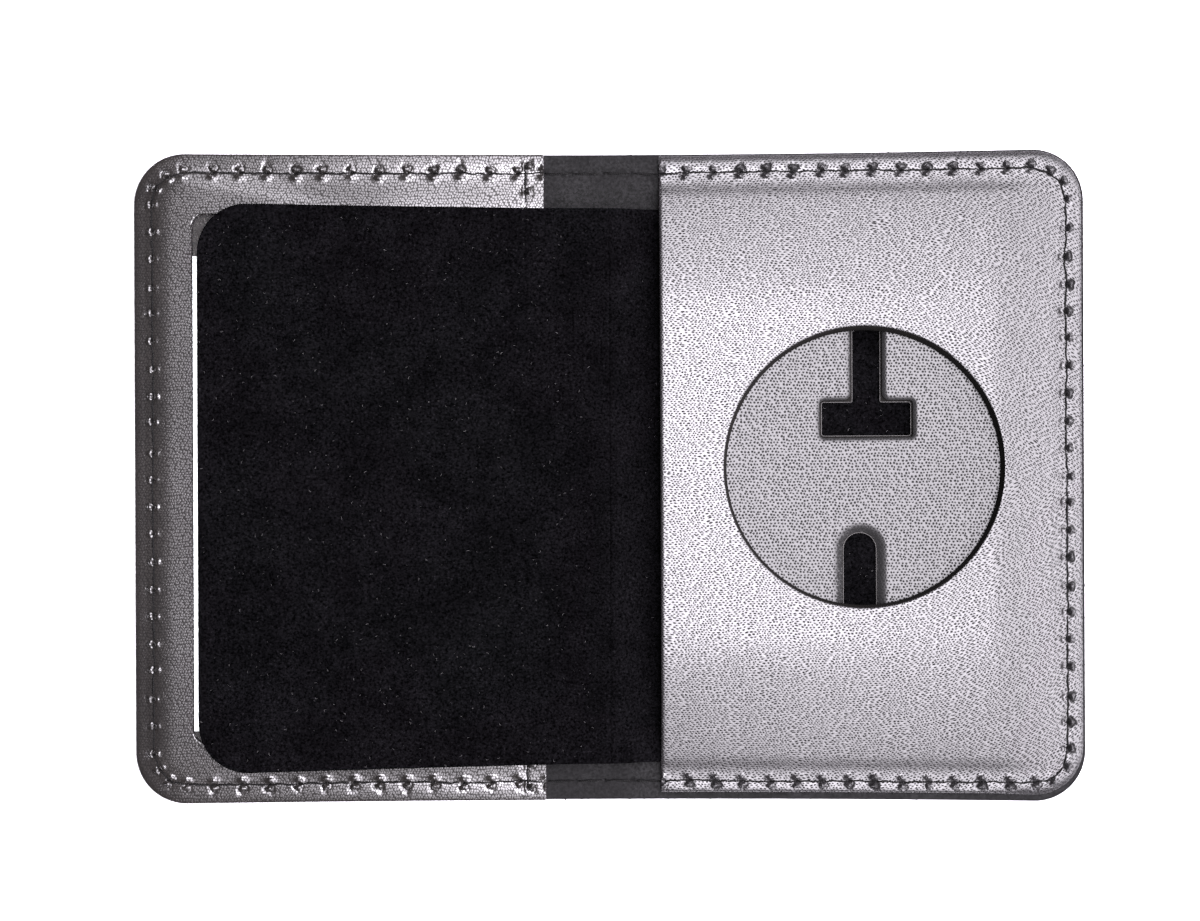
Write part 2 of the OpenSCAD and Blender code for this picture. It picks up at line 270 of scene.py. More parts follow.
# Leather round a needle hole: places and widths, across the seam outwards and along it
HOLE_REACH = 2.4
HOLE_TURN = 1.7
DOME_AT, DOME_R = 0.70, 0.42
DOME_SQUEEZE = (1.12, 0.9)
LOBES, LOBE, LOBES_AT = 3, 0.16, 0.72
MOAT_R, MOAT_W = 0.72, 0.16
MOAT_LEVEL, MOAT_SWING = 0.7, 0.3
MOAT_FROM, MOAT_RUN = 0.25, 0.8
INNER_AT, INNER_W = (-0.78, 0), (0.40, 0.66)
PIT_AT, PIT_W = (0, 0), (0.24, 0.27)
TEAR_AT, TEAR_W, TEAR = (0.1, 0.36), (0.22, 0.18), 0.6
MOAT_SHARE = 0.45
# Painted shade on the dome beside each needle hole, as a share of the full mark
DOME_SHADE = 0.45
PRESS, PRESS_W = 0.03, 0.2

# Floor, just under the wallet, and where the camera starts to see
FLOOR_HALF = 2000
FLOOR_Z = -0.1
CLIP_NEAR = 10

# Room: how its horizon climbs to the left and to the front and back, and how each part of
# it changes the light: the slopes between which it does so, and the share of light at each
ROOM_TILT, ROOM_ASIDE = 0.4, 0.34
ROOM_HORIZON = (0.32, 0.66, 0.06, 1.0)
ROOM_FRONT = (-0.7, 0.0, 0.7, 1.0)
ROOM_BACK = (0.05, 0.7, 1.0, 0.78)
ROOM_RIGHT = (0.02, 0.3, 1.0, 0.6)

# Fineness of outlines, and the least lengths that count
FENCE_STEP = 0.4
LEAST_R = 0.04
TINY = 1e-12


class WalletSizes(bpy.types.PropertyGroup):
    """Sizes of the finish that a user may change."""

    grain: FloatProperty(
        name="Grain", description="Width of one pebble of the leather's grain",
        default=0.00063, unit="LENGTH",
    )
    grain_height: FloatProperty(
        name="Grain height", description="Height of a pebble over the creases round it",
        default=0.000035, unit="LENGTH",
    )
    thread: FloatProperty(
        name="Thread", description="Diameter of the sewing thread",
        default=0.00033, unit="LENGTH",
    )
    twist: FloatProperty(
        name="Twist", description="Length of thread in which it turns once",
        default=0.0011, unit="LENGTH",
    )
    pucker: FloatProperty(
        name="Pucker", description="Height of the leather raised beside a needle hole",
        default=0.00042, unit="LENGTH",
    )
    hole: FloatProperty(
        name="Needle hole", description="Depth that the leather is drawn in at a needle hole",
        default=0.0005, unit="LENGTH",
    )
    lint: FloatProperty(
        name="Lint", description="Specks of lint on each square metre of velvet",
        default=80000.0,
    )
    fuzz: FloatProperty(
        name="Edge fuzz", description="Nubs on each square metre of the cover's cut edge",
        default=450000.0,
    )


class WalletColours(bpy.types.PropertyGroup):
    """Colours of the materials, linear."""

    cover: FloatVectorProperty(
        name="Cover leather", description="Outer cover, pocket frame and flap leather",
        subtype="COLOR", default=(0.0135, 0.0120, 0.0110),
    )
    panel: FloatVectorProperty(
        name="Panel leather", description="Skin of the badge panel",
        subtype="COLOR", default=(0.0100, 0.0090, 0.0098),
    )
    seat: FloatVectorProperty(
        name="Seat leather", description="Leather that the badge lies on",
        subtype="COLOR", default=(0.0100, 0.0094, 0.0097),
    )
    edge: FloatVectorProperty(
        name="Cut edge", description="Raw edge of the cut leather",
        subtype="COLOR", default=(0.017, 0.015, 0.014),
    )
    lining: FloatVectorProperty(
        name="Lining", description="Lining across the spine",
        subtype="COLOR", default=(0.0046, 0.0045, 0.0047),
    )
    lining_edge: FloatVectorProperty(
        name="Lining edge", description="Cut edge of the lining",
        subtype="COLOR", default=(0.05, 0.048, 0.052),
    )
    pocket: FloatVectorProperty(
        name="Pocket lining", description="Lining behind the window",
        subtype="COLOR", default=(0.0330, 0.0300, 0.0280),
    )
    velvet: FloatVectorProperty(
        name="Velvet", description="Face of the flap",
        subtype="COLOR", default=(0.0021, 0.0020, 0.0023),
    )
    lint: FloatVectorProperty(
        name="Lint", description="Specks that lie on the velvet",
        subtype="COLOR", default=(0.09, 0.088, 0.088),
    )
    card: FloatVectorProperty(
        name="Card", description="Blank card in the pocket",
        subtype="COLOR", default=(0.82, 0.86, 0.82),
    )
    board: FloatVectorProperty(
        name="Board", description="Board that the recess is cut in",
        subtype="COLOR", default=(0.0030, 0.0024, 0.0020),
    )
    # The stiffener's lighter colour shows on its cut edge: the raw fibre, and partly a painted
    # highlight where light catches the edge.
    stiffener: FloatVectorProperty(
        name="Stiffener", description="Cut edge of the layer under the seat",
        subtype="COLOR", default=(0.075, 0.073, 0.071),
    )
    thread: FloatVectorProperty(
        name="Thread", description="Sewing thread",
        subtype="COLOR", default=(0.0016, 0.0014, 0.0013),
    )
    floor: FloatVectorProperty(
        name="Floor", description="Plain floor under the wallet",
        subtype="COLOR", default=(0.82, 0.82, 0.83),
    )


class WalletStudio(bpy.types.PropertyGroup):
    """Light and camera."""

    lamp_radiance: FloatProperty(
        name="Softbox", description="Brightness of the softbox's face", default=9.5,
    )
    lamp_place: FloatVectorProperty(
        name="Softbox place", description="Middle of the softbox",
        size=3, default=(0.032, 0.01, 1.0), unit="LENGTH",
    )
    lamp_size: FloatVectorProperty(
        name="Softbox size", description="Width and depth of the softbox",
        size=2, default=(0.25, 0.42), unit="LENGTH",
    )
    tent: FloatProperty(
        name="Tent", description="Brightness of the white tent on the right", default=16.0,
    )
    dark: FloatProperty(
        name="Dark side", description="Brightness of the room on the left", default=0.3,
    )
    tent_edge: FloatVectorProperty(
        name="Tent edge", description="Slope to the left where the tent starts and is full",
        size=2, default=(-0.14, 0.01),
    )
    tint: FloatVectorProperty(
        name="Light colour", description="Colour of the softbox and the tent",
        subtype="COLOR", default=(1.0, 0.955, 1.035),
    )
    camera_height: FloatProperty(
        name="Camera height", description="Height of the camera over the table",
        default=0.45, unit="LENGTH",
    )
    camera_place: FloatVectorProperty(
        name="Camera place", description="Point on the table under the camera",
        size=2, default=(-0.00182, 0.0030), unit="LENGTH",
    )
    camera_roll: FloatProperty(
        name="Camera roll", description="Turn of the camera about its line of sight",
        default=math.radians(-0.24), subtype="ANGLE",
    )
    lens: FloatProperty(name="Lens", description="Focal length in millimetres", default=74.2)
    seed: IntProperty(name="Seed", description="Seed of everything irregular", default=7)


def sizes():
    return bpy.context.scene.wallet_sizes


def colours():
    return bpy.context.scene.wallet_colours


def studio():
    return bpy.context.scene.wallet_studio


# Outlines in the plane of the table


def side_points(p, q, step):
    """Points from p towards q, without q."""
    count = max(1, round(float(np.hypot(*(q - p))) / step))
    return p + (q - p) * (np.arange(count)[:, None] / count)


class Outline:
    """A closed outline, counterclockwise, with a radius at each corner."""

    def __init__(self, corners, radii):
        self.corners = np.array(corners, float)
        self.radii = np.broadcast_to(np.array(radii, float), len(self.corners)).copy()
        self.fence = self.loop(0, FENCE_STEP, arcs_only=True)

    def moved_in(self, inset):
        """Corners and radii of the outline drawn in by inset."""
        before = self.corners - np.roll(self.corners, 1, axis=0)
        after = np.roll(before, -1, axis=0)
        before /= np.linalg.norm(before, axis=1)[:, None]
        after /= np.linalg.norm(after, axis=1)[:, None]
        turn = before[:, 0] * after[:, 1] - before[:, 1] * after[:, 0]
        inward_b = np.column_stack((-before[:, 1], before[:, 0]))
        inward_a = np.column_stack((-after[:, 1], after[:, 0]))
        share = 1 + np.sum(inward_a * inward_b, axis=1)
        corners = self.corners + inset * (inward_a + inward_b) / share[:, None]
        radii = np.maximum(self.radii - inset * np.sign(turn), LEAST_R)
        return corners, radii

    def loop(self, inset, step, arcs_only=False):
        """Points round the outline drawn in by inset, or only those of its arcs."""
        corners, radii = self.moved_in(inset)
        arcs = []
        for i, corner in enumerate(corners):
            back = corners[i - 1] - corner
            ahead = corners[(i + 1) % len(corners)] - corner
            back /= np.linalg.norm(back)
            ahead /= np.linalg.norm(ahead)
            half = math.acos(np.clip(back @ ahead, -1, 1)) / 2
            middle = (back + ahead) / np.linalg.norm(back + ahead)
            centre = corner + middle * radii[i] / math.sin(half)
            first = corner + back * radii[i] / math.tan(half) - centre
            sweep = math.pi - 2 * half
            if back[0] * ahead[1] - back[1] * ahead[0] > 0:
                sweep = -sweep
            count = max(2, math.ceil(abs(sweep) * radii[i] / step))
            start = math.atan2(first[1], first[0])
            turns = start + sweep * np.arange(count + 1) / count
            arcs.append(centre + radii[i] * np.column_stack((np.cos(turns), np.sin(turns))))
        if arcs_only:
            return np.vstack(arcs)
        parts = []
        for i, arc in enumerate(arcs):
            parts.append(arc)
            parts.append(side_points(arc[-1], arcs[(i + 1) % len(arcs)][0], step)[1:])
        return np.vstack(parts)

    def depth(self, p):
        """Distance inside the outline, negative outside."""
        best = np.full(len(p), np.inf)
        inside = np.zeros(len(p), bool)
        for a, b in zip(self.fence, np.roll(self.fence, -1, axis=0)):
            run = b - a
            length = run @ run
            if length < TINY:
                continue
            off = p - a
            t = np.clip(off @ run / length, 0, 1)
            best = np.minimum(best, np.sum((off - t[:, None] * run) ** 2, axis=1))
            if a[1] != b[1]:
                crosses = (a[1] > p[:, 1]) != (b[1] > p[:, 1])
                inside ^= crosses & (p[:, 0] < a[0] + (p[:, 1] - a[1]) * run[0] / run[1])
        distance = np.sqrt(best)
        return np.where(inside, distance, -distance)


class Disc:
    """A round outline."""

    def __init__(self, centre, radius):
        self.centre = np.array(centre, float)
        self.radius = radius

    def loop(self, inset, step):
        r = self.radius - inset
        count = math.ceil(math.tau * r / step)
        turns = math.tau * np.arange(count) / count
        return self.centre + r * np.column_stack((np.cos(turns), np.sin(turns)))

    def depth(self, p):
        return self.radius - np.hypot(*(p - self.centre).T)


def box_outline(x0, x1, y0, y1, radii):
    """Rectangle with its corner radii given from low left, counterclockwise."""
    return Outline([(x0, y0), (x1, y0), (x1, y1), (x0, y1)], radii)


class Region:
    """An outline with holes."""

    def __init__(self, outer, holes=()):
        self.outer = outer
        self.holes = list(holes)

    def loops(self, step, fine_step):
        """The outer edge, and the edges of the holes the other way round."""
        return [self.outer.loop(0, step)] + [hole.loop(0, fine_step)[::-1] for hole in self.holes]

    def rings(self, insets, step, fine_step):
        """Rings of points at each inset inside every edge."""
        rings = [self.outer.loop(inset, step) for inset in insets]
        return rings + [hole.loop(-inset, fine_step) for hole in self.holes for inset in insets]

    def depth(self, p):
        """Distance to the nearest edge, negative in a hole or outside."""
        d = self.outer.depth(p)
        for hole in self.holes:
            d = np.minimum(d, -hole.depth(p))
        return d

    def hex_points(self, pitch, margin, wanted=None):
        """Points in staggered rows over the region, margin inside its edges."""
        low, high = self.outer.fence.min(0), self.outer.fence.max(0)
        rise = pitch * math.sqrt(3) / 2
        rows = np.arange(low[1], high[1], rise)
        columns = np.arange(low[0], high[0], pitch)
        x, y = np.meshgrid(columns, rows)
        x = x + (np.arange(len(rows)) % 2)[:, None] * pitch / 2
        p = np.column_stack((x.ravel(), y.ravel()))
        if wanted is not None:
            p = p[wanted(p)]
        return p[self.depth(p) > margin]


# Heights and reliefs


def ramp(t, soft=0.3):
    """A straight climb from 0 to 1 with rounded ends."""
    t = np.clip(t, 0, 1)
    rate = 1 / (1 - soft)
    low = rate * t * t / (2 * soft)
    high = 1 - rate * (1 - t) ** 2 / (2 * soft)
    return np.where(t < soft, low, np.where(t > 1 - soft, high, rate * (t - soft / 2)))


def domed(d, run):
    """A climb from 0 to 1 that starts steepest, with a small step, and flattens evenly."""
    d = (d + np.sqrt(d * d + DOME_SOFT)) / 2
    t = np.clip(d / run, 0, 1)
    return (1 - STEP_SHARE) * t * (2 - t) + STEP_SHARE * ramp((d - STEP_FROM) / STEP_RUN)


def rolled(d, r):
    """Drop of a cut edge that is rounded with radius r, at depth d inside it."""
    d = np.clip(d, 0, r)
    return r - np.sqrt(np.maximum(r * r - (r - d) ** 2, 0))


def ripple(p, height, length, seed):
    """Smooth irregular waves of about that height and length."""
    count, shortest, longest, peak = 7, 0.7, 1.6, 1.6
    rng = np.random.default_rng(seed)
    total = np.zeros(len(p))
    for _ in range(count):
        angle = rng.uniform(0, math.tau)
        number = math.tau / (length * rng.uniform(shortest, longest))
        along = p @ [math.cos(angle), math.sin(angle)]
        total += np.sin(number * along + rng.uniform(0, math.tau))
    return height * (total / math.sqrt(count) / peak)


def bell(x, y, middle, width):
    """A smooth hump of height 1 at a place, with a width in x and in y."""
    return np.exp(-(((x - middle[0]) / width[0]) ** 2 + ((y - middle[1]) / width[1]) ** 2))


class Seam:
    """A row of needle holes, each with the direction towards the nearest cut edge."""

    def __init__(self, holes, outward, seed, wander=0.2):
        rng = np.random.default_rng(seed)
        self.holes = np.array(holes, float)
        self.outward = np.array(outward, float)
        self.holes[:, :2] += rng.normal(0, wander / 2, (len(self.holes), 2))
        self.size = rng.uniform(*HOLE_SIZES, len(self.holes))
        self.lean = rng.uniform(-HOLE_LEAN, HOLE_LEAN, len(self.holes))
        self.size *= 1 - HOLE_CALM * np.maximum(-self.outward[:, 0], 0)
        self.swell = HOLE_SWELL - HOLE_SWELL_FALL * np.maximum(self.outward[:, 0], 0)

    def distance(self, p):
        """Distance from each point to the line of the seam."""
        best = np.full(len(p), np.inf)
        for a, b in zip(self.holes[:-1, :2], self.holes[1:, :2]):
            run = b - a
            off = p - a
            t = np.clip(off @ run / (run @ run), 0, 1)
            best = np.minimum(best, np.sum((off - t[:, None] * run) ** 2, axis=1))
        return np.sqrt(best)

    def around(self, p, reach=HOLE_REACH):
        """Each hole with the points near it: their indices, places across and along, and size."""
        for hole, out, size, lean in zip(self.holes[:, :2], self.outward, self.size, self.lean):
            near = np.nonzero(np.abs(p - hole).max(axis=1) < reach)[0]
            q = p[near] - hole
            yield near, q @ out, q @ [-out[1], out[0]] + lean, size

    def pucker(self, across, along, turn):
        """Dome, moat, inner bulge and pit of one needle hole, from its own coordinates."""
        wave = 1 + LOBE * np.sin(LOBES * np.arctan2(along, across - LOBES_AT) + turn)
        r = np.hypot((across - DOME_AT) * DOME_SQUEEZE[0], along * DOME_SQUEEZE[1]) * wave
        dome = np.exp(-(r / DOME_R) ** 2)
        open_side = np.clip(across + MOAT_FROM, 0, MOAT_RUN) / MOAT_RUN
        moat = np.exp(-((r - MOAT_R) / MOAT_W) ** 2) * open_side
        moat *= MOAT_LEVEL + MOAT_SWING * np.sin(turn * LOBES)
        inner = bell(across, along, INNER_AT, INNER_W)
        tears = TEAR * bell(across, np.abs(along), TEAR_AT, TEAR_W)
        return dome, moat, inner, np.maximum(bell(across, along, PIT_AT, PIT_W), tears)

    def relief(self, p):
        """Height that the stitches give the leather: a pressed line, holes and puckers."""
        raise_by = sizes().pucker / MM
        dig = sizes().hole / MM
        z = -PRESS * np.exp(-self.distance(p) ** 2 / (2 * PRESS_W ** 2))
        for k, (near, across, along, size) in enumerate(self.around(p)):
            dome, moat, inner, pit = self.pucker(across, along, HOLE_TURN * k)
            bulge = dome + self.swell[k] * inner - MOAT_SHARE * moat
            z[near] += size * raise_by * bulge - dig * pit
        return z

    def shade_marks(self, p):
        """How far the needle has dulled the leather, and how much painted shade darkens it in the
        holes, the moats and on the domes beside them.
        """
        mark = np.zeros(len(p))
        for k, (near, across, along, size) in enumerate(self.around(p)):
            dome, moat, _, pit = self.pucker(across, along, HOLE_TURN * k)
            here = np.maximum(np.maximum(DOME_SHADE * dome, moat), pit)
            mark[near] = np.maximum(mark[near], size * here)
        return np.clip(mark, 0, 1)


# Meshes


def triangles(loops, points, depth):
    """Triangles of the region between loops, through all the points.

    Returns the vertices, the faces and, for each loop point, its vertex."""
    merge, least_area = 1e-5, 1e-9
    every = np.vstack(loops + [points])
    edges = []
    first = 0
    for loop in loops:
        count = len(loop)
        edges += [(first + i, first + (i + 1) % count) for i in range(count)]
        first += count
    found = delaunay_2d_cdt([Vector(p) for p in every], edges, [], 0, merge, True)
    verts = np.array([tuple(v) for v in found[0]])
    faces = np.array(found[2])
    corner = verts[faces]
    keep = depth(corner.mean(axis=1)) > 0
    faces = faces[keep]
    a, b, c = (verts[faces[:, i]] for i in range(3))
    area = (b - a)[:, 0] * (c - a)[:, 1] - (b - a)[:, 1] * (c - a)[:, 0]
    faces[area < 0] = faces[area < 0][:, ::-1]
    faces = faces[np.abs(area) > least_area]
    place = {source: i for i, sources in enumerate(found[3]) for source in sources}
    return verts, faces, [place[i] for i in range(first)]


def flared(points):
    """Points in millimetres moved as the used leather lies: a little taller at its ends."""
    points = np.array(points, float)
    x = points[:, 0] / FLARE_REACH
    points[:, 1] *= FLARE_MIDDLE + np.where(x > 0, FLARE_RIGHT, FLARE_LEFT) * x * x
    return points


def mesh_piece(name, verts, faces, materials, indices=None, smooth=None):
    """A new object from vertices in millimetres, with its rest place kept as an attribute."""
    mesh = bpy.data.meshes.new(name)
    mesh.from_pydata((flared(verts) * MM).tolist(), [], [list(map(int, f)) for f in faces])
    for material in materials:
        mesh.materials.append(material)
    if indices is not None:
        mesh.polygons.foreach_set("material_index", np.asarray(indices, np.int32))
    mesh.polygons.foreach_set("use_smooth", np.ones(len(mesh.polygons), bool))
    if smooth is not None:
        mesh.set_sharp_from_angle(angle=math.radians(smooth))
    keep_flat_place(mesh)
    piece = bpy.data.objects.new(name, mesh)
    bpy.context.scene.collection.objects.link(piece)
    return piece


def keep_flat_place(mesh):
    """Stores where each vertex lies when the wallet is open, for grain that bends with it."""
    place = np.empty(len(mesh.vertices) * 3, np.float32)
    mesh.vertices.foreach_get("co", place)
    attribute = mesh.attributes.new("flat_place", "FLOAT_VECTOR", "POINT")
    attribute.data.foreach_set("vector", place)


def plate(name, region, top, under, materials, pitch=1.5, fine=(), fine_under=(),
          insets=(0.08, 0.2, 0.4), step=0.7, fine_step=0.35, shade_marks=None, smooth=40, rim=0.0):
    """A closed ply of leather or board.

    top and under give its two heights at points p with depth d inside the edges. fine and
    fine_under are (pitch, test) pairs, finest first, for where each face needs more points.
    shade_marks gives how far the top is dulled and darkened by painted shade, at needle holes and
    where the seat sinks into its slots. The walls take the second material, and so does the top as
    far in as rim."""
    loops = region.loops(step, fine_step)
    rings = np.vstack(region.rings(insets, step, fine_step))
    rings = rings[region.depth(rings) > 0.5 * insets[0]]

    def points(details):
        parts = [rings]
        taken = []
        for size, wanted in (*details, (pitch, lambda p: np.ones(len(p), bool))):
            def free(p, wanted=wanted, taken=tuple(taken)):
                open_here = wanted(p)
                for test in taken:
                    open_here &= ~test(p)
                return open_here

            parts.append(region.hex_points(size, insets[-1] + 0.3 * size, free))
            taken.append(wanted)
        return np.vstack(parts)

    sides = [triangles(loops, points(details), region.depth) for details in (fine, fine_under)]
    (top_xy, top_faces, top_rim), (low_xy, low_faces, low_rim) = sides
    top_z = top(top_xy, np.maximum(region.depth(top_xy), 0))
    low_z = under(low_xy, np.maximum(region.depth(low_xy), 0))
    verts = np.vstack((np.column_stack((top_xy, top_z)), np.column_stack((low_xy, low_z))))
    base = len(top_xy)
    walls = []
    first = 0
    for loop in loops:
        count = len(loop)
        for i in range(count):
            a, b = first + i, first + (i + 1) % count
            walls.append([low_rim[a] + base, low_rim[b] + base, top_rim[b], top_rim[a]])
        first += count
    faces = [list(f) for f in top_faces] + [list(f[::-1] + base) for f in low_faces] + walls
    edge = min(1, len(materials) - 1)
    at_rim = region.depth(top_xy[top_faces].mean(axis=1)) < rim
    indices = list(np.where(at_rim, edge, 0)) + [0] * len(low_faces) + [edge] * len(walls)
    piece = mesh_piece(name, verts, faces, materials, indices, smooth)
    # Painted shade and dulling of the top, stored for the finish to read
    if shade_marks is not None:
        values = np.zeros(len(verts), np.float32)
        values[:base] = shade_marks(top_xy)
        attribute = piece.data.attributes.new("marked", "FLOAT", "POINT")
        attribute.data.foreach_set("value", values)
    return piece


# Node helpers


def node(tree, kind, inputs=None, **settings):
    """A new node with its settings and input values."""
    made = tree.nodes.new(kind)
    for key, value in settings.items():
        setattr(made, key, value)
    for key, value in (inputs or {}).items():
        if isinstance(value, bpy.types.NodeSocket):
            tree.links.new(value, made.inputs[key])
        else:
            made.inputs[key].default_value = value
    return made


def math_node(tree, operation, *values):
    """The result of one operation on its values."""
    made = node(tree, "ShaderNodeMath", dict(enumerate(values)), operation=operation)
    return made.outputs[0]


def split(tree, vector):
    """The X, Y and Z of a vector."""
    return node(tree, "ShaderNodeSeparateXYZ", {0: vector}).outputs


def joined(tree, x=0.0, y=0.0, z=0.0):
    """A vector made from its X, Y and Z."""
    return node(tree, "ShaderNodeCombineXYZ", {0: x, 1: y, 2: z}).outputs[0]


def noise(tree, place, scale, detail=2.0, roughness=0.5, distortion=0.0, output="Fac"):
    """Soft random values, from 0 to 1, that change over a place."""
    return node(tree, "ShaderNodeTexNoise", {
        "Vector": place, "Scale": scale, "Detail": detail, "Roughness": roughness,
        "Distortion": distortion,
    }).outputs[output]


def vector_node(tree, operation, a, b=None, scale=None):
    """The result of one operation on vectors, which is a value for a length or a distance."""
    values = {0: a}
    if b is not None:
        values[1] = b
    if scale is not None:
        values["Scale"] = scale
    made = node(tree, "ShaderNodeVectorMath", values, operation=operation)
    return made.outputs["Value" if operation in ("LENGTH", "DISTANCE") else "Vector"]


def spread(tree, value, low, high, to_low=0.0, to_high=1.0, smooth=True):
    """A value mapped from one range to another and held inside it."""
    kind = "SMOOTHSTEP" if smooth else "LINEAR"
    made = node(tree, "ShaderNodeMapRange", {
        "Value": value, "From Min": low, "From Max": high, "To Min": to_low, "To Max": to_high,
    }, interpolation_type=kind)
    return made.outputs["Result"]


def blend_colour(tree, fac, a, b):
    """A colour between a, where fac is 0, and b, where it is 1."""
    made = node(tree, "ShaderNodeMix", data_type="RGBA")
    for key, value in ((0, fac), (6, a), (7, b)):
        if isinstance(value, bpy.types.NodeSocket):
            tree.links.new(value, made.inputs[key])
        else:
            made.inputs[key].default_value = value
    return made.outputs[2]


def group(name, kind, inputs, outputs):
    """A new node group with its sockets, and its two end nodes."""
    tree = bpy.data.node_groups.new(name, kind)
    for label, socket, default in inputs:
        made = tree.interface.new_socket(label, in_out="INPUT", socket_type=socket)
        if default is not None:
            made.default_value = default
    for label, socket in outputs:
        tree.interface.new_socket(label, in_out="OUTPUT", socket_type=socket)
    return tree, tree.nodes.new("NodeGroupInput"), tree.nodes.new("NodeGroupOutput")


def rgba(colour, factor=1.0):
    """A colour made brighter or darker by a factor, with full alpha."""
    return (*[channel * factor for channel in colour], 1.0)


# Shader groups


def pebble_group():
    """Leather grain: small pores in staggered rows, drawn out along the stretch."""
    name = "Leather Grain"
    if name in bpy.data.node_groups:
        return bpy.data.node_groups[name]
    tree, ends, out = group(name, "ShaderNodeTree", [
        ("Place", "NodeSocketVector", None),
        ("Pebble", "NodeSocketFloat", 0.0006),
        ("Stretch", "NodeSocketVector", (1.0, 1.0, 1.0)),
        ("Warp", "NodeSocketFloat", 0.5),
        ("Pore", "NodeSocketFloat", 0.30),
        ("Ridge", "NodeSocketFloat", 0.4),
    ], [
        ("Height", "NodeSocketFloat"), ("Pore", "NodeSocketFloat"), ("Crown", "NodeSocketFloat"),
        ("Bead", "NodeSocketFloat"),
    ])
    place = ends.outputs["Place"]
    drift = noise(tree, place, 170.0, output="Color")
    drift = vector_node(tree, "SUBTRACT", drift, (0.5, 0.5, 0.5))
    size = math_node(tree, "DIVIDE", 1.0, ends.outputs["Pebble"])
    cells = vector_node(tree, "SCALE", place, scale=size)
    cells = vector_node(tree, "MULTIPLY", cells, ends.outputs["Stretch"])
    push = math_node(tree, "MULTIPLY", ends.outputs["Warp"], 6.0)
    cells = vector_node(tree, "ADD", cells, vector_node(tree, "SCALE", drift, scale=push))
    cells = vector_node(tree, "MULTIPLY", cells, (1.0, 1.0, 0.0))
    x, y, _ = split(tree, cells)
    staggered = joined(
        tree, math_node(tree, "MULTIPLY_ADD", y, -1 / math.sqrt(3), x),
        math_node(tree, "MULTIPLY", y, 2 / math.sqrt(3)),
    )
    found = node(tree, "ShaderNodeTexVoronoi", {
        "Vector": staggered, "Scale": 1.0, "Randomness": 0.4,
    }, voronoi_dimensions="2D", feature="F1")
    x, y, _ = split(tree, found.outputs["Position"])
    centre = joined(
        tree, math_node(tree, "ADD", x, math_node(tree, "MULTIPLY", y, 0.5)),
        math_node(tree, "MULTIPLY", y, math.sqrt(3) / 2),
    )
    away = vector_node(tree, "DISTANCE", cells, centre)
    chance = node(tree, "ShaderNodeSeparateColor", {0: found.outputs["Color"]}).outputs[0]
    width = spread(tree, chance, 0.0, 1.0, 0.8, 1.15)
    width = math_node(tree, "MULTIPLY", ends.outputs["Pore"], width)
    ratio = math_node(tree, "DIVIDE", away, width)
    pore = spread(tree, ratio, 0.45, 1.15, 1.0, 0.0)
    dome = spread(tree, away, 0.04, 0.46)
    fine = noise(tree, cells, 1.35, roughness=0.6)
    ridge = math_node(tree, "MULTIPLY", fine, ends.outputs["Ridge"])
    tree.links.new(math_node(tree, "ADD", dome, ridge), out.inputs["Height"])
    tree.links.new(pore, out.inputs["Pore"])
    tree.links.new(spread(tree, fine, 0.42, 0.62), out.inputs["Crown"])
    uneven = spread(tree, fine, 0.3, 0.7, 0.5, 1.2)
    bead = math_node(tree, "MULTIPLY", spread(tree, away, 0.48, 0.0), uneven)
    bead = math_node(tree, "ADD", bead, spread(tree, fine, 0.53, 0.65, 0.0, 0.13))
    tree.links.new(bead, out.inputs["Bead"])
    return tree


def pulled_group():
    """Place on the badge panel's leather, bent so that its grain follows the sewn rim."""
    bend_from, bend_rate, halves_apart = 0.042, 7.0, 0.0573
    name = "Pulled Place"
    if name in bpy.data.node_groups:
        return bpy.data.node_groups[name]
    tree, ends, out = group(name, "ShaderNodeTree", [
        ("Place", "NodeSocketVector", None),
    ], [("Place", "NodeSocketVector")])
    x, y, _ = split(tree, ends.outputs["Place"])
    past = math_node(tree, "MAXIMUM", math_node(tree, "SUBTRACT", x, bend_from), 0.0)
    bend = math_node(tree, "MULTIPLY", math_node(tree, "MULTIPLY", past, past), bend_rate)
    up = math_node(tree, "ADD", math_node(tree, "ABSOLUTE", y), bend)
    aside = math_node(tree, "MULTIPLY", math_node(tree, "SIGN", y), halves_apart)
    place = joined(tree, math_node(tree, "ADD", x, aside), up)
    tree.links.new(place, out.inputs["Place"])
    return tree


def fibre_group():
    """Short matted fibres of lining, board, felt and raw leather edges."""
    name = "Fine Fibre"
    if name in bpy.data.node_groups:
        return bpy.data.node_groups[name]
    tree, ends, out = group(name, "ShaderNodeTree", [
        ("Place", "NodeSocketVector", None),
        ("Fibre", "NodeSocketFloat", 0.0003),
        ("Stretch", "NodeSocketVector", (1.0, 1.0, 1.0)),
    ], [("Height", "NodeSocketFloat"), ("Tone", "NodeSocketFloat"), ("Fleck", "NodeSocketFloat")])
    size = math_node(tree, "DIVIDE", 1.0, ends.outputs["Fibre"])
    cells = vector_node(tree, "SCALE", ends.outputs["Place"], scale=size)
    cells = vector_node(tree, "MULTIPLY", cells, ends.outputs["Stretch"])
    fine = noise(tree, cells, 1.0, detail=4.0, roughness=0.7)
    wide = spread(tree, noise(tree, cells, 0.06), 0.3, 0.7, 0.6, 1.0)
    tone = math_node(tree, "MULTIPLY", spread(tree, fine, 0.3, 0.7), wide)
    tree.links.new(fine, out.inputs["Height"])
    tree.links.new(tone, out.inputs["Tone"])
    tree.links.new(spread(tree, fine, 0.62, 0.78), out.inputs["Fleck"])
    return tree


# Materials


def finish_name(name):
    """Name of a finish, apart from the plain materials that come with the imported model."""
    return f"{name}_finish"


def new_material(name):
    """A new material, its tree and its shader."""
    material = bpy.data.materials.new(finish_name(name))
    material.use_nodes = True
    tree = material.node_tree
    return material, tree, tree.nodes["Principled BSDF"]


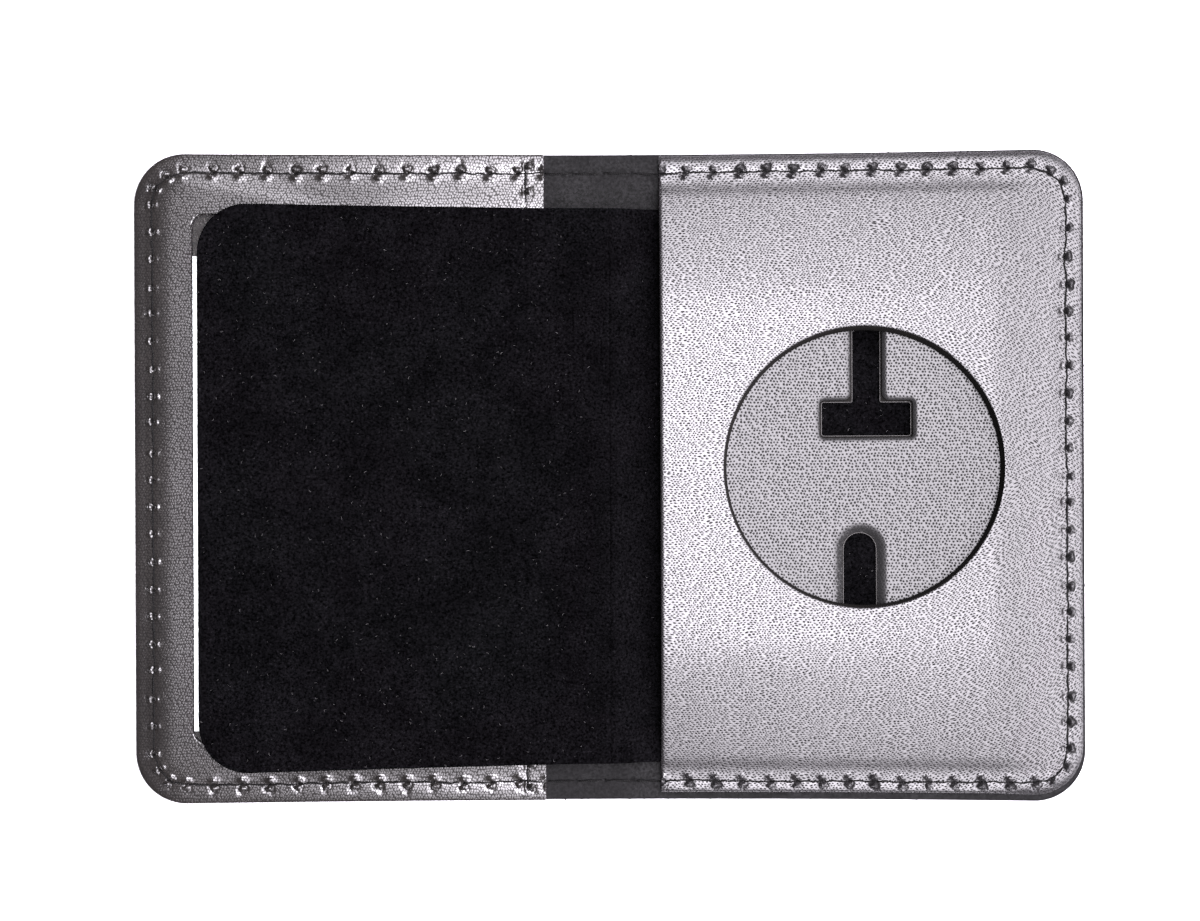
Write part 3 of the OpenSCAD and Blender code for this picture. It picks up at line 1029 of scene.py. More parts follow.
def place_of(tree, flat):
    """Where the grain lies: the object's own space, or its place when the wallet is open."""
    if flat:
        return node(tree, "ShaderNodeAttribute", attribute_name="flat_place").outputs["Vector"]
    return node(tree, "ShaderNodeTexCoord").outputs["Object"]


def bump(tree, height, distance, under=None):
    """The normal of a surface raised by height times distance, over another bump if given."""
    values = {"Height": height, "Distance": distance, "Strength": 1.0}
    if under is not None:
        values["Normal"] = under
    return node(tree, "ShaderNodeBump", values).outputs["Normal"]


def grain(tree, place, stretch=(1.0, 1.0, 1.0), warp=0.5, pore=0.30, ridge=0.4):
    """Height, pores, crowns and beads of the leather's grain at a place."""
    made = node(tree, "ShaderNodeGroup", node_tree=pebble_group())
    made.inputs["Pebble"].default_value = sizes().grain
    made.inputs["Stretch"].default_value = stretch
    made.inputs["Warp"].default_value = warp
    made.inputs["Pore"].default_value = pore
    made.inputs["Ridge"].default_value = ridge
    tree.links.new(place, made.inputs["Place"])
    return [made.outputs[key] for key in ("Height", "Pore", "Crown", "Bead")]


def leather(name, colour, stretch=(1.0, 1.0, 1.0), bent=None, beads=None, depth=1.0, rough=0.30,
            coat=(0.62, 1.0), wrinkle=0.0, flat=False, pore=0.30, warp=0.5, ridge=0.4,
            coat_ior=1.36, level=0.5):
    """Glossy leather, duller in its pores or creases and where it is pierced, and darker there by
    painted shade.

    bent moves the grain, as a function of the tree and place. beads makes the grain stand up as
    beads: the bead height below which the gloss fades and painted shade darkens the creases, and
    how much of it goes; the beads' tops get the fullest coat, a painted highlight."""
    if finish_name(name) in bpy.data.materials:
        return bpy.data.materials[finish_name(name)]
    material, tree, shader = new_material(name)
    place = place_of(tree, flat)
    lay = bent(tree, place) if bent else place
    height, pores, crowns, bead = grain(tree, lay, stretch, warp, pore, ridge)
    if beads is not None:
        height = crowns = bead
        pores = spread(tree, bead, 0.0, beads[0], beads[1], 0.0)
    normal = bump(tree, noise(tree, place, 75.0), LEATHER_SWELL * MM)
    if wrinkle:
        drawn_out = vector_node(tree, "MULTIPLY", place, (0.4, 1.0, 1.0))
        folds = noise(tree, drawn_out, 330.0, distortion=0.4)
        normal = bump(tree, folds, wrinkle * MM, normal)
    normal = bump(tree, height, sizes().grain_height * depth, normal)
    tree.links.new(normal, shader.inputs["Normal"])
    # Painted shade: the needle and slot marks, made patchy at random, and the pores, or in beaded
    # grain the creases between beads, darken the colour and also dull the gloss.
    marked = node(tree, "ShaderNodeAttribute", attribute_name="marked").outputs["Fac"]
    patchy = spread(tree, noise(tree, place, 2600.0, detail=1.0), 0.3, 0.6, -0.45, 0.0)
    patchy_marks = math_node(tree, "ADD", marked, patchy)
    marked = math_node(tree, "MAXIMUM", patchy_marks, math_node(tree, "MULTIPLY", marked, 0.35))
    shade_and_dull = math_node(tree, "MAXIMUM", pores, marked)
    tone = spread(tree, noise(tree, place, 110.0, detail=3.0, roughness=0.6), 0.3, 0.7)
    lively = blend_colour(tree, tone, rgba(colour, 0.85), rgba(colour, 1.15))
    lively = blend_colour(tree, shade_and_dull, lively, rgba(colour, 0.25))
    tree.links.new(lively, shader.inputs["Base Color"])
    tree.links.new(spread(tree, shade_and_dull, 0.0, 1.0, rough, 1.0), shader.inputs["Roughness"])
    gloss = spread(tree, crowns, 0.0, 1.0, coat[0], coat[1])
    gloss = math_node(tree, "MULTIPLY", gloss, spread(tree, shade_and_dull, 0.0, 1.0, 1.0, 0.03))
    tree.links.new(gloss, shader.inputs["Coat Weight"])
    shader.inputs["Coat Roughness"].default_value = rough
    shader.inputs["Coat IOR"].default_value = coat_ior
    shader.inputs["Specular IOR Level"].default_value = level
    return material


def fibrous(name, colour, fibre, depth, flat=False, stretch=(1.0, 1.0, 1.0), contrast=0.5,
            rough=0.9, level=0.15, fleck=0.0):
    """Matt fibrous surface: lining, board, velvet or a raw leather edge."""
    if finish_name(name) in bpy.data.materials:
        return bpy.data.materials[finish_name(name)]
    material, tree, shader = new_material(name)
    fibres = node(tree, "ShaderNodeGroup", node_tree=fibre_group())
    fibres.inputs["Fibre"].default_value = fibre * MM
    fibres.inputs["Stretch"].default_value = stretch
    tree.links.new(place_of(tree, flat), fibres.inputs["Place"])
    mixed = blend_colour(
        tree, fibres.outputs["Tone"], rgba(colour, 1 - contrast), rgba(colour, 1 + contrast)
    )
    if fleck:
        mixed = blend_colour(tree, fibres.outputs["Fleck"], mixed, rgba(colour, 1 + fleck))
    tree.links.new(mixed, shader.inputs["Base Color"])
    tree.links.new(bump(tree, fibres.outputs["Height"], depth * MM), shader.inputs["Normal"])
    tree.links.new(
        spread(tree, fibres.outputs["Tone"], 0.0, 1.0, rough, rough - 0.12),
        shader.inputs["Roughness"],
    )
    shader.inputs["Specular IOR Level"].default_value = level
    return material


def cover_leather():
    return leather("cover_leather", colours().cover, flat=True, depth=1.6, rough=0.33)


def frame_leather():
    return leather(
        "frame_leather", colours().cover, stretch=(1.25, 1.08, 1.0), beads=(0.25, 0.72),
        depth=0.8, rough=0.18, coat=(0.8, 1.0), coat_ior=1.92, level=0.13,
    )


def panel_place(tree, place):
    """Place on the panel's leather, pulled towards its sewn rim."""
    pulled = node(tree, "ShaderNodeGroup", node_tree=pulled_group())
    tree.links.new(place, pulled.inputs["Place"])
    return pulled.outputs["Place"]


def panel_leather():
    return leather(
        "panel_leather", colours().panel, stretch=(0.88, 1.4, 1.0), bent=panel_place,
        depth=1.9, wrinkle=0.02, rough=0.24, coat=(0.65, 1.0), pore=0.325, warp=0.7, ridge=0.9,
        coat_ior=1.58, level=0.4,
    )


def seat_leather():
    return leather(
        "seat_leather", colours().seat, depth=0.8, rough=0.34, coat=(0.55, 0.7), pore=0.34,
        warp=0.25, ridge=0.25,
    )


def flap_leather():
    return leather("flap_leather", colours().cover, wrinkle=0.015, rough=0.33)


def cut_edge(flat=False):
    name = "cut_edge_flat" if flat else "cut_edge"
    return fibrous(name, colours().edge, 0.12, 0.05, flat, contrast=0.6, rough=0.85)


def lining(flat=False):
    name = "spine_lining" if flat else "lining"
    return fibrous(name, colours().lining, 0.45, 0.05, flat, contrast=0.95, fleck=2.0, rough=0.8)


def pale_edge():
    """Cut edge of the lining, lighter than its face."""
    return fibrous("pale_edge", colours().lining_edge, 0.2, 0.02, contrast=0.4, rough=0.8)


def pocket_lining():
    return fibrous("pocket_lining", colours().pocket, 0.35, 0.02, contrast=0.4, rough=0.75)


def velvet():
    return fibrous(
        "velvet", colours().velvet, 0.42, 0.05, contrast=0.95, fleck=5.0, rough=1.0, level=0.0,
    )


def board():
    return fibrous("board", colours().board, 0.2, 0.03, stretch=(0.6, 0.6, 4.0), contrast=0.5)


def stiffener():
    return fibrous("stiffener", colours().stiffener, 0.15, 0.02, stretch=(0.6, 0.6, 3.0))


def lint():
    return fibrous("lint", colours().lint, 0.3, 0.01, contrast=0.3, level=0.1)


def thread():
    """Waxed thread of three plies, twisted along the way that each stitch runs."""
    if finish_name("thread") in bpy.data.materials:
        return bpy.data.materials[finish_name("thread")]
    material, tree, shader = new_material("thread")
    lay = node(tree, "ShaderNodeAttribute", attribute_name="lay").outputs["Vector"]
    along, around, _ = split(tree, lay)
    turn = math_node(tree, "ADD", math_node(tree, "DIVIDE", along, sizes().twist), around)
    ply = math_node(tree, "SINE", math_node(tree, "MULTIPLY", turn, THREAD_PLIES * math.tau))
    ply = spread(tree, ply, -1.0, 1.0)
    # Painted shade between the plies and a painted highlight on their crowns, over the thread's own
    # near-black
    colour = blend_colour(tree, ply, rgba(colours().thread, 0.3), rgba(colours().thread, 1.4))
    tree.links.new(colour, shader.inputs["Base Color"])
    tree.links.new(bump(tree, ply, PLY_GROOVE * MM), shader.inputs["Normal"])
    tree.links.new(spread(tree, ply, 0.0, 1.0, 0.7, 0.42), shader.inputs["Roughness"])
    shader.inputs["Specular IOR Level"].default_value = 0.18
    return material


def clear_sheet():
    """Clear glossy sheet that lets light through to what lies behind it."""
    if finish_name("clear_sheet") in bpy.data.materials:
        return bpy.data.materials[finish_name("clear_sheet")]
    material, tree, shader = new_material("clear_sheet")
    haze = noise(tree, place_of(tree, False), 70.0)
    shader.inputs["Base Color"].default_value = (0.97, 0.98, 0.98, 1.0)
    tree.links.new(spread(tree, haze, 0.3, 0.8, 0.03, 0.10), shader.inputs["Roughness"])
    tree.links.new(bump(tree, haze, SHEET_SWELL * MM), shader.inputs["Normal"])
    shader.inputs["IOR"].default_value = 1.45
    shader.inputs["Transmission Weight"].default_value = 1.0
    shadow = node(tree, "ShaderNodeLightPath").outputs["Is Shadow Ray"]
    through = node(tree, "ShaderNodeBsdfTransparent", {"Color": (0.9, 0.91, 0.92, 1.0)})
    mixed = node(tree, "ShaderNodeMixShader", {0: shadow})
    tree.links.new(shader.outputs[0], mixed.inputs[1])
    tree.links.new(through.outputs[0], mixed.inputs[2])
    tree.links.new(mixed.outputs[0], tree.nodes["Material Output"].inputs["Surface"])
    return material


def card_material():
    """White plastic card with a faint moulded texture."""
    if finish_name("card") in bpy.data.materials:
        return bpy.data.materials[finish_name("card")]
    material, tree, shader = new_material("card")
    grainy = noise(tree, place_of(tree, False), 1800.0, detail=3.0)
    colour = blend_colour(tree, grainy, rgba(colours().card, 0.97), rgba(colours().card, 1.03))
    tree.links.new(colour, shader.inputs["Base Color"])
    tree.links.new(spread(tree, grainy, 0.2, 0.8, 0.42, 0.5), shader.inputs["Roughness"])
    tree.links.new(bump(tree, grainy, CARD_GRAIN * MM), shader.inputs["Normal"])
    return material


# Seam rows


def run_holes(p, q, pitch=STITCH):
    """Needle holes from p towards q, without q."""
    count = max(1, round(float(np.linalg.norm(q - p)) / pitch))
    return [p + (q - p) * i / count for i in range(count)]


def corner_holes(centre, radius, start, stop):
    count = max(1, round(radius * abs(stop - start) / CORNER_STITCH))
    turns = [start + (stop - start) * i / count for i in range(count)]
    return [centre + radius * np.array([math.cos(a), math.sin(a)]) for a in turns]


def panel_seam(near, side, seed):
    """Seam round three sides of a half: side is 1 on the right and -1 on the left."""
    far = HALF_W - SEAM_INSET
    high = HALF_H - SEAM_INSET
    r = CORNER_R - SEAM_INSET
    quarter = math.pi / 2
    holes = run_holes(np.array([near, high]), np.array([far - r, high]))
    holes += corner_holes(np.array([far - r, high - r]), r, quarter, 0)
    holes += run_holes(np.array([far, high - r]), np.array([far, r - high]))
    holes += corner_holes(np.array([far - r, r - high]), r, 0, -quarter)
    holes += run_holes(np.array([far - r, -high]), np.array([near, -high]))
    holes = np.array(holes + [np.array([near, -high])])
    middle = np.array([far - r, high - r])
    corner = np.column_stack((holes[:, 0], np.abs(holes[:, 1]))) - middle
    out = np.maximum(corner, 0)
    out[:, 1] *= np.sign(holes[:, 1])
    flat = np.linalg.norm(out, axis=1) < 1e-6
    out[flat] = [1, 0]
    out /= np.linalg.norm(out, axis=1)[:, None]
    scale = [side, 1]
    seam = Seam(holes * scale, out * scale, seed)
    if side > 0:
        seam.size *= PANEL_PUCKER
    return seam


def mouth_seam(seed):
    """Seam beside the pocket mouth, from one cut edge of the cover to the other."""
    crest = HALF_H - MOUTH_CREST
    ends = HALF_H - MOUTH_SEAM_ENDS
    inner = run_holes(np.array([MOUTH_SEAM_X, crest]), np.array([MOUTH_SEAM_X, -crest]))
    holes = [np.array([MOUTH_SEAM_X, ends]), *inner]
    holes += [np.array([MOUTH_SEAM_X, -y]) for y in (crest, ends)]
    return Seam(holes, [(1, 0)] * len(holes), seed, 0.08)


def spine_rows(seed):
    """The two rows of needle holes across the spine."""
    high = HALF_H - SEAM_INSET
    rows = []
    for k, y in enumerate((high, -high)):
        holes = run_holes(np.array([SPINE_X0, y]), np.array([SPINE_X1, y]))
        holes.append(np.array([SPINE_X1, y]))
        rows.append(Seam(holes, [(0, math.copysign(1, y))] * len(holes), seed + k, 0.1))
    return rows


class SeamRows:
    """Every seam of the wallet, made once so that all plies share its needle holes."""

    def __init__(self, seed):
        self.left = panel_seam(-SPINE_X0, -1, seed)
        self.right = panel_seam(SPINE_X1, 1, seed + 1)
        self.mouth = mouth_seam(seed + 2)
        self.spine = spine_rows(seed + 3)
        self.spine[0].holes[0] = self.left.holes[0]
        self.spine[1].holes[0] = self.left.holes[-1]
        self.spine[0].holes[-1] = self.right.holes[0]
        self.spine[1].holes[-1] = self.right.holes[-1]

    def outer(self):
        return [self.left, self.right, *self.spine]


def seam_rows():
    return SeamRows(studio().seed)


def near_seams(rows, reach):
    return lambda p: np.min([row.distance(p) for row in rows], axis=0) < reach


def near_holes(rows, reach):
    holes = np.vstack([row.holes[:, :2] for row in rows])

    def test(p):
        close = np.zeros(len(p), bool)
        for hole in holes:
            close |= np.sum((p - hole) ** 2, axis=1) < reach * reach
        return close

    return test


def seam_detail(rows, reach=1.7):
    """Fine points along seams and finer ones round their needle holes."""
    return [(0.17, near_holes(rows, 1.45)), (0.32, near_seams(rows, reach))]


# Surfaces of the plies


def pocket_depth(p):
    """Depth inside the three outer edges of the wallet's left half."""
    return box_outline(-HALF_W, FAR, -HALF_H, HALF_H, CORNER_R).depth(p)


def pocket_run(p, runs):
    """Length of a slope: the first at the wallet's left end, the second along its long edges."""
    from_end = HALF_W + p[:, 0]
    from_edge = HALF_H - np.abs(p[:, 1])
    t = np.clip((from_end - from_edge) / CORNER_BLEND, 0, 1)
    return runs[0] + (runs[1] - runs[0]) * t * t * (3 - 2 * t)


def pocket_climb(p, start):
    """How far the pocket's plies have risen over the card, from 0 to 1."""
    d = pocket_depth(p) - POCKET_FOOT - start
    return ramp(d / pocket_run(p, POCKET_RUN), POCKET_SOFT)


def frame_height(p):
    """Top of the pocket's leather frame before its seams."""
    rim = FRAME_UNDER + LEATHER_T
    foot = pocket_run(p, (FRAME_FOOT, POCKET_FOOT))
    climb = ramp((pocket_depth(p) - foot) / FRAME_RUN)
    return rim + (FRAME_TOP - rim) * climb + ripple(p, *FRAME_WAVES) * climb


def skin_outline(near, near_r):
    """Outline of the badge panel's skin, from a place near the fold out to the wallet's end."""
    radii = (near_r, SKIN_R, SKIN_R, near_r)
    return box_outline(near, SKIN_HIGH[0], SKIN_FOOT, SKIN_HIGH[1], radii)


def skin_climb(p, start=0.0):
    """How far the badge panel's skin has risen over the board, from 0 to 1."""
    from_end = SKIN_HIGH[0] - p[:, 0] - PANEL_FOOT[0] - start
    from_edge = SKIN_HIGH[1] - np.abs(p[:, 1]) - PANEL_FOOT[1] - start
    return domed(from_end, PANEL_RUN[0]) * domed(from_edge, PANEL_RUN[1])


def skin_height(p):
    """Top of the badge panel's skin before its seam."""
    rim = BASE_Z + LEATHER_T
    climb = skin_climb(p)
    crisp = np.clip(-(p[:, 1] + HALF_H - CRISP_LOW) / CRISP_LOW_RUN, 0, 1)
    crisp *= np.clip((HALF_W - CRISP_END - p[:, 0]) / CRISP_END_RUN, 0, 1)
    out = 1 - skin_outline(-FAR, SKIN_R).depth(p) / (SKIN_DROP_W - CRISP_W * crisp)
    edge = SKIN_DROP * np.clip(out, 0, 1) ** SKIN_DROP_POWER
    return rim + (SKIN_HIGH[2] - rim) * climb - edge + ripple(p, *SKIN_WAVES) * climb


def skin_under(p):
    """Underside of the badge panel's skin."""
    return BASE_Z + (BOARD_HIGH[2] - BASE_Z) * skin_climb(p, UNDER_START)


def flat_face(z):
    """A face at one height, as plate takes it."""
    return lambda p, d: np.full(len(p), z)


def ply_height(x, rest, lift):
    """Underside of a flap ply at distance x from the fold line."""
    crease = FOLD_Z - CREASE_GAP - PLY_VELVET - PLY_LEATHER
    t = np.clip((CURVE_END - x) / CURVE_END, 0, 1)
    return rest + lift + (crease - rest) * t * t * (3 - 2 * t)


def slot_outlines(upper, lower, bar_r, neck_r):
    """The T shaped slot and the round topped slot, drawn in by two lips."""
    reach = BADGE_R + SLOT_RUN
    x = BADGE_X + BAR_SHIFT
    y = BADGE_Y
    half_bar = BAR_W / 2 - upper
    half_stem = STEM_W / 2 - upper
    low, high = y + BAR_LOW + upper, y + BAR_LOW + BAR_H - upper
    tee = Outline(
        [(x - half_bar, low), (x + half_bar, low), (x + half_bar, high), (x + half_stem, high),
         (x + half_stem, y + reach), (x - half_stem, y + reach), (x - half_stem, high),
         (x - half_bar, high)],
        [bar_r, bar_r, bar_r, neck_r, BLUNT_R, BLUNT_R, neck_r, bar_r],
    )
    half = LOWER_W / 2 - lower
    middle = BADGE_X - LOWER_SHIFT
    top = y - LOWER_DROP - lower
    top_r = half - 0.02
    radii = (BLUNT_R, BLUNT_R, top_r, top_r)
    return tee, box_outline(middle - half, middle + half, y - reach, top, radii)


# Operators


def declare(piece, slot, body, *nodes):
    """Without a body, the piece's place is baked into its mesh."""
    if nodes:
        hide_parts(*nodes)
    if body:
        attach(piece, body)
        return
    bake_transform(piece)


class WALLET_OT_outer_cover(bpy.types.Operator):
    """Build the outer cover as one leather that bends at the spine"""

    bl_idname = "wallet.outer_cover"
    bl_label = "Outer Cover"

    def execute(self, context):
        rows = seam_rows().outer()
        region = Region(box_outline(-HALF_W, HALF_W, -HALF_H, HALF_H, CORNER_R))

        def top(p, d):
            return COVER_T - rolled(d, COVER_ROLL[0])

        def under(p, d):
            distance = np.min([row.distance(p) for row in rows], axis=0)
            groove = (GROOVE_Z - GROOVE_FLOOR) * np.exp(-((distance / GROOVE_W) ** 4))
            dents = np.zeros(len(p))
            for row in rows:
                for hole in row.holes:
                    dents += DENT * np.exp(-np.sum((p - hole) ** 2, axis=1) / DENT_AREA)
            return rolled(d, COVER_ROLL[1]) + np.minimum(groove + dents, DEEPEST)

        def bends(p):
            return np.abs(p[:, 0]) < FOLD_BAND

        def detailed(p):
            return near_seams(rows, 1.3)(p) | bends(p)

        cover = plate(
            "outer_cover", region, top, under, [cover_leather(), cut_edge(True)], pitch=2.4,
            fine=[(1.0, bends)], fine_under=[(0.42, detailed)],
            insets=(0.07, 0.16, 0.3, 0.6), step=0.6,
        )
        declare(cover, "cover_leather", None, "cover_left", "cover_spine", "cover_right")
        return {"FINISHED"}


class WALLET_OT_lining(bpy.types.Operator):
    """Build the lining across the spine and finish the lining of both halves"""

    bl_idname = "wallet.lining"
    bl_label = "Lining"

    def execute(self, context):
        self.build_middle()
        left = (-HALF_W, SPINE_X0, (CORNER_R, CUT_R, CUT_R, CORNER_R))
        right = (SPINE_X1, HALF_W, (CUT_R, CORNER_R, CORNER_R, CUT_R))
        for (x0, x1, radii), node_name, body, slot, material in (
            (left, "lining_left", "id_half", "pocket_lining", pocket_lining()),
            (right, "lining_right", "badge_half", "lining", lining()),
        ):
            half = plate(
                f"{node_name}_sheet", Region(box_outline(x0, x1, -HALF_H, HALF_H, radii)),
                lambda p, d: BASE_Z - rolled(d, LINING_ROLL[1]), flat_face(COVER_T),
                [material, pale_edge()], pitch=5, insets=(0.04, 0.08), step=0.6,
            )
            declare(half, slot, body, node_name)
        return {"FINISHED"}

    def build_middle(self):
        rows = seam_rows().spine
        region = Region(box_outline(SPINE_X0, SPINE_X1, -HALF_H, HALF_H, FOLD_R))

        def top(p, d):
            edge = HALF_H - np.abs(p[:, 1])
            distance = np.min([row.distance(p) for row in rows], axis=0)
            press = LINING_PRESS * np.exp(-distance ** 2 / LINING_PRESS_AREA)
            for row in rows:
                for near, across, along, _ in row.around(p, LINING_PIT_REACH):
                    area = across ** 2 + along ** 2
                    press[near] += LINING_PIT * np.exp(-area / LINING_PIT_AREA)
            return BASE_Z - rolled(edge, LINING_ROLL[0]) - press

        middle = plate(
            "spine_lining", region, top, flat_face(COVER_T), [lining(True), cut_edge(True)],
            pitch=0.9, fine=[(0.2, near_holes(rows, 0.9)), (0.4, near_seams(rows, 1.2))], step=0.6,
        )
        declare(middle, "lining", None, "lining_spine")


class WALLET_OT_id_pocket(bpy.types.Operator):
    """Build the pocket's leather frame and its clear sheet"""

    bl_idname = "wallet.id_pocket"
    bl_label = "ID Pocket"

    def execute(self, context):
        self.build_frame()
        self.build_sheet()
        return {"FINISHED"}

    def build_frame(self):
        rows = seam_rows()
        radii = (CORNER_R, CUT_R, CUT_R, CORNER_R)
        outer = box_outline(-HALF_W, FRAME_X1, -HALF_H, HALF_H, radii)
        window = box_outline(*WINDOW, WINDOW_R)

        def top(p, d):
            z = frame_height(p) + rows.left.relief(p) + rows.mouth.relief(p)
            edge = FRAME_DROP * np.clip(1 - pocket_depth(p) / FRAME_DROP_W, 0, 1) ** 2
            return z - edge - rolled(d, FRAME_ROLL)

        def under(p, d):
            climb = pocket_climb(p, FRAME_START)
            return FRAME_UNDER + (FRAME_TOP - LEATHER_T - FRAME_UNDER) * climb

        leather_frame = plate(
            "pocket_frame", Region(outer, [window]), top, under, [frame_leather(), cut_edge()],
            pitch=1.1, fine=seam_detail([rows.left, rows.mouth]),
            insets=(0.05, 0.12, 0.22, 0.45), step=0.5,
            shade_marks=lambda p: np.maximum(rows.left.shade_marks(p), rows.mouth.shade_marks(p)),
        )
        declare(leather_frame, "panel_leather", "id_half", "window_frame")

    def build_sheet(self):
        low, high = box_mm("clear_window")
        r = CORNER_R - (HALF_W + low[0])
        outer = box_outline(low[0], high[0], low[1], high[1], (r, BLUNT_R, BLUNT_R, r))
        rise = high[2] - BASE_Z - SHEET_T

        def top(p, d):
            climb = pocket_climb(p, SHEET_STARTS[0])
            return BASE_Z + SHEET_T + rise * climb - rolled(d, SHEET_ROLL)

        def under(p, d):
            return BASE_Z + rise * pocket_climb(p, SHEET_STARTS[1])

        sheet = plate(
            "window_sheet", Region(outer), top, under, [clear_sheet()], pitch=1.4,
            insets=(0.05, 0.12), step=0.6,
        )
        declare(sheet, "clear_sheet", "id_half", "clear_window")


class WALLET_OT_card(bpy.types.Operator):
    """Build the blank card in the pocket"""

    bl_idname = "wallet.card"
    bl_label = "Card"

    def execute(self, context):
        outline = box_outline(CARD_LOW[0], CARD_HIGH[0], CARD_LOW[1], CARD_HIGH[1], CARD_R)

        def top(p, d):
            return CARD_HIGH[2] - rolled(d, CARD_ROLL)

        def under(p, d):
            return CARD_LOW[2] + rolled(d, CARD_ROLL)

        card = plate(
            "blank_card", Region(outline), top, under, [card_material()], pitch=4,
            insets=(0.03, 0.07, 0.13), step=0.5,
        )
        declare(card, "card", "card", "id_card")
        return {"FINISHED"}


class WALLET_OT_badge_panel(bpy.types.Operator):
    """Build the badge panel's skin, drawn down to its sewn rim"""

    bl_idname = "wallet.badge_panel"
    bl_label = "Badge Panel"

    def execute(self, context):
        seam = seam_rows().right
        outer = skin_outline(SPINE_X1 - SKIN_OVER, BLUNT_R)
        region = Region(outer, [Disc((BADGE_X, BADGE_Y), BADGE_R)])

        def top(p, d):
            hole = np.hypot(p[:, 0] - BADGE_X, p[:, 1] - BADGE_Y) - BADGE_R
            near = p[:, 0] - SPINE_X1 + SKIN_OVER
            z = skin_height(p) + seam.relief(p) - rolled(hole, HOLE_ROLL)
            return z - SPINE_ROLL_SHARE * rolled(near, SPINE_ROLL)

        skin = plate(
            "panel_skin", region, top, lambda p, d: skin_under(p), [panel_leather(), cut_edge()],
            pitch=1.0, fine=seam_detail([seam], 1.8), insets=(0.06, 0.15, 0.28, 0.45, 0.75),
            step=0.5, fine_step=0.45, shade_marks=seam.shade_marks,
        )
        declare(skin, "panel_leather", "badge_half", "badge_skin")
        return {"FINISHED"}


class WALLET_OT_recess(bpy.types.Operator):
    """Build the board, seat leather and stiffener of the badge recess"""

    bl_idname = "wallet.recess"
    bl_label = "Badge Recess"

    def execute(self, context):
        self.build_board()
        self.build_seat()
        self.build_stiffener()
        return {"FINISHED"}

    def outline(self, low):
        """Outline of a ply under the skin, far enough in to lie below the skin's slope."""
        x1, y1 = HALF_W - RECESS_INSET[0], HALF_H - RECESS_INSET[1]
        return box_outline(low[0], x1, -y1, y1, (BLUNT_R, CREST_R, CREST_R, BLUNT_R))

    def build_board(self):
        """The board, whose hole shows as a dark ring inside the skin's hole."""
        middle = (BADGE_X + LIP_SHIFT[0], BADGE_Y + LIP_SHIFT[1])
        lip = Disc(middle, BADGE_R - BOARD_LIP)

        def top(p, d):
            bevel = LIP_BEVEL * np.clip(1 + lip.depth(p) / BOARD_LIP, 0, 1) ** LIP_POWER
            return np.maximum(skin_under(p) - BOARD_GAP - bevel, BOARD_LOW[2] + BOARD_LEAST)

        ring = plate(
            "recess_board", Region(self.outline(BOARD_LOW), [lip]), top, flat_face(BOARD_LOW[2]),
            [board()], pitch=1.6, insets=(0.08, 0.2, 0.4, 0.62), step=0.8, fine_step=0.45,
        )
        declare(ring, "board", "badge_half", "badge_board")

    def build_seat(self):
        tee, arch = slot_outlines(SEAT_LIP, 0.0, BAR_R, NECK_R)
        droop = slot_outlines(0, LOWER_LIP - DROOP_LIP, BAR_R, NECK_R)[1]
        region = Region(self.outline(SEAT_LOW), [tee, droop])

        def sunk(p):
            """How far the leather has sunk into the slots, for the T and for the arch."""
            tee_edge = np.clip(1 - np.maximum(-tee.depth(p), 0) / SINK_W, 0, 1) ** 2
            inside = (arch.depth(p) + DROOP_FROM) / (LOWER_LIP + DROOP_RUN)
            return tee_edge, np.clip(inside, 0, 1)

        def top(p, d):
            tee_edge, inside = sunk(p)
            fall = (SEAT_HIGH[2] - STIFF_HIGH[2] - DROOP_LEFT) * inside ** DROOP_POWER
            return SEAT_HIGH[2] - SINK * tee_edge - fall + ripple(p, *SEAT_WAVES)

        # Painted shade: where the seat sinks into the T slot and droops into the arch, it is
        # painted darker and dulled.
        def shade_marks(p):
            tee_edge, inside = sunk(p)
            return np.clip(np.maximum(SINK_SHADE * tee_edge, DROOP_SHADE * inside), 0, 1)

        def wanted(p):
            return (np.abs(tee.depth(p)) < 1.2) | (arch.depth(p) > -1.0)

        seat = plate(
            "recess_seat", region, top, flat_face(SEAT_LOW[2] + SEAT_GAP),
            [seat_leather(), cut_edge()], pitch=1.4, fine=[(0.3, wanted)],
            insets=(0.06, 0.16, 0.3), step=0.7, fine_step=0.25, shade_marks=shade_marks,
        )
        declare(seat, "seat_leather", "badge_half", "badge_seat")

    def build_stiffener(self):
        slots = slot_outlines(UPPER_LIP, LOWER_LIP, BLUNT_R, BLUNT_R)

        def top(p, d):
            return STIFF_HIGH[2] - rolled(d, STIFF_ROLL)

        # The top's rim and the walls take the lighter stiffener colour: the raw fibre of the cut
        # edge, and partly a painted highlight along it.
        layer = plate(
            "slot_stiffener_layer", Region(self.outline(STIFF_LOW), slots), top,
            flat_face(STIFF_LOW[2]), [board(), stiffener()], pitch=3,
            insets=(0.05, 0.12, 0.3), step=0.8, fine_step=0.3, rim=0.12,
        )
        declare(layer, "stiffener", "badge_half", "slot_stiffener")


def flap_outline(side):
    """Outline of the flap: its free part on the left, its root on the right."""
    low, high = LEAF_LOW[1] + LEAF_SPREAD, LEAF_HIGH[1] - CREASE_TOP
    if side < 0:
        end = LEAF_LOW[0] + LEAF_SPREAD
        corners = [
            (end, LEAF_LOW[1] - LEAF_SPREAD), (0, low), (0, high),
            (end, LEAF_HIGH[1] + LEAF_TOP_SPREAD),
        ]
        return Outline(corners, (FLAP_R, FOLD_R, FOLD_R, FLAP_R))
    corners = [
        (0, low), (CURVE_END, ROOT_LOW[1]), (ROOT_HIGH[0], ROOT_LOW[1]),
        (ROOT_HIGH[0], ROOT_HIGH[1]), (CURVE_END, ROOT_HIGH[1]), (0, high),
    ]
    return Outline(corners, (FOLD_R, ROOT_R, CREST_R, CREST_R, ROOT_R, FOLD_R))


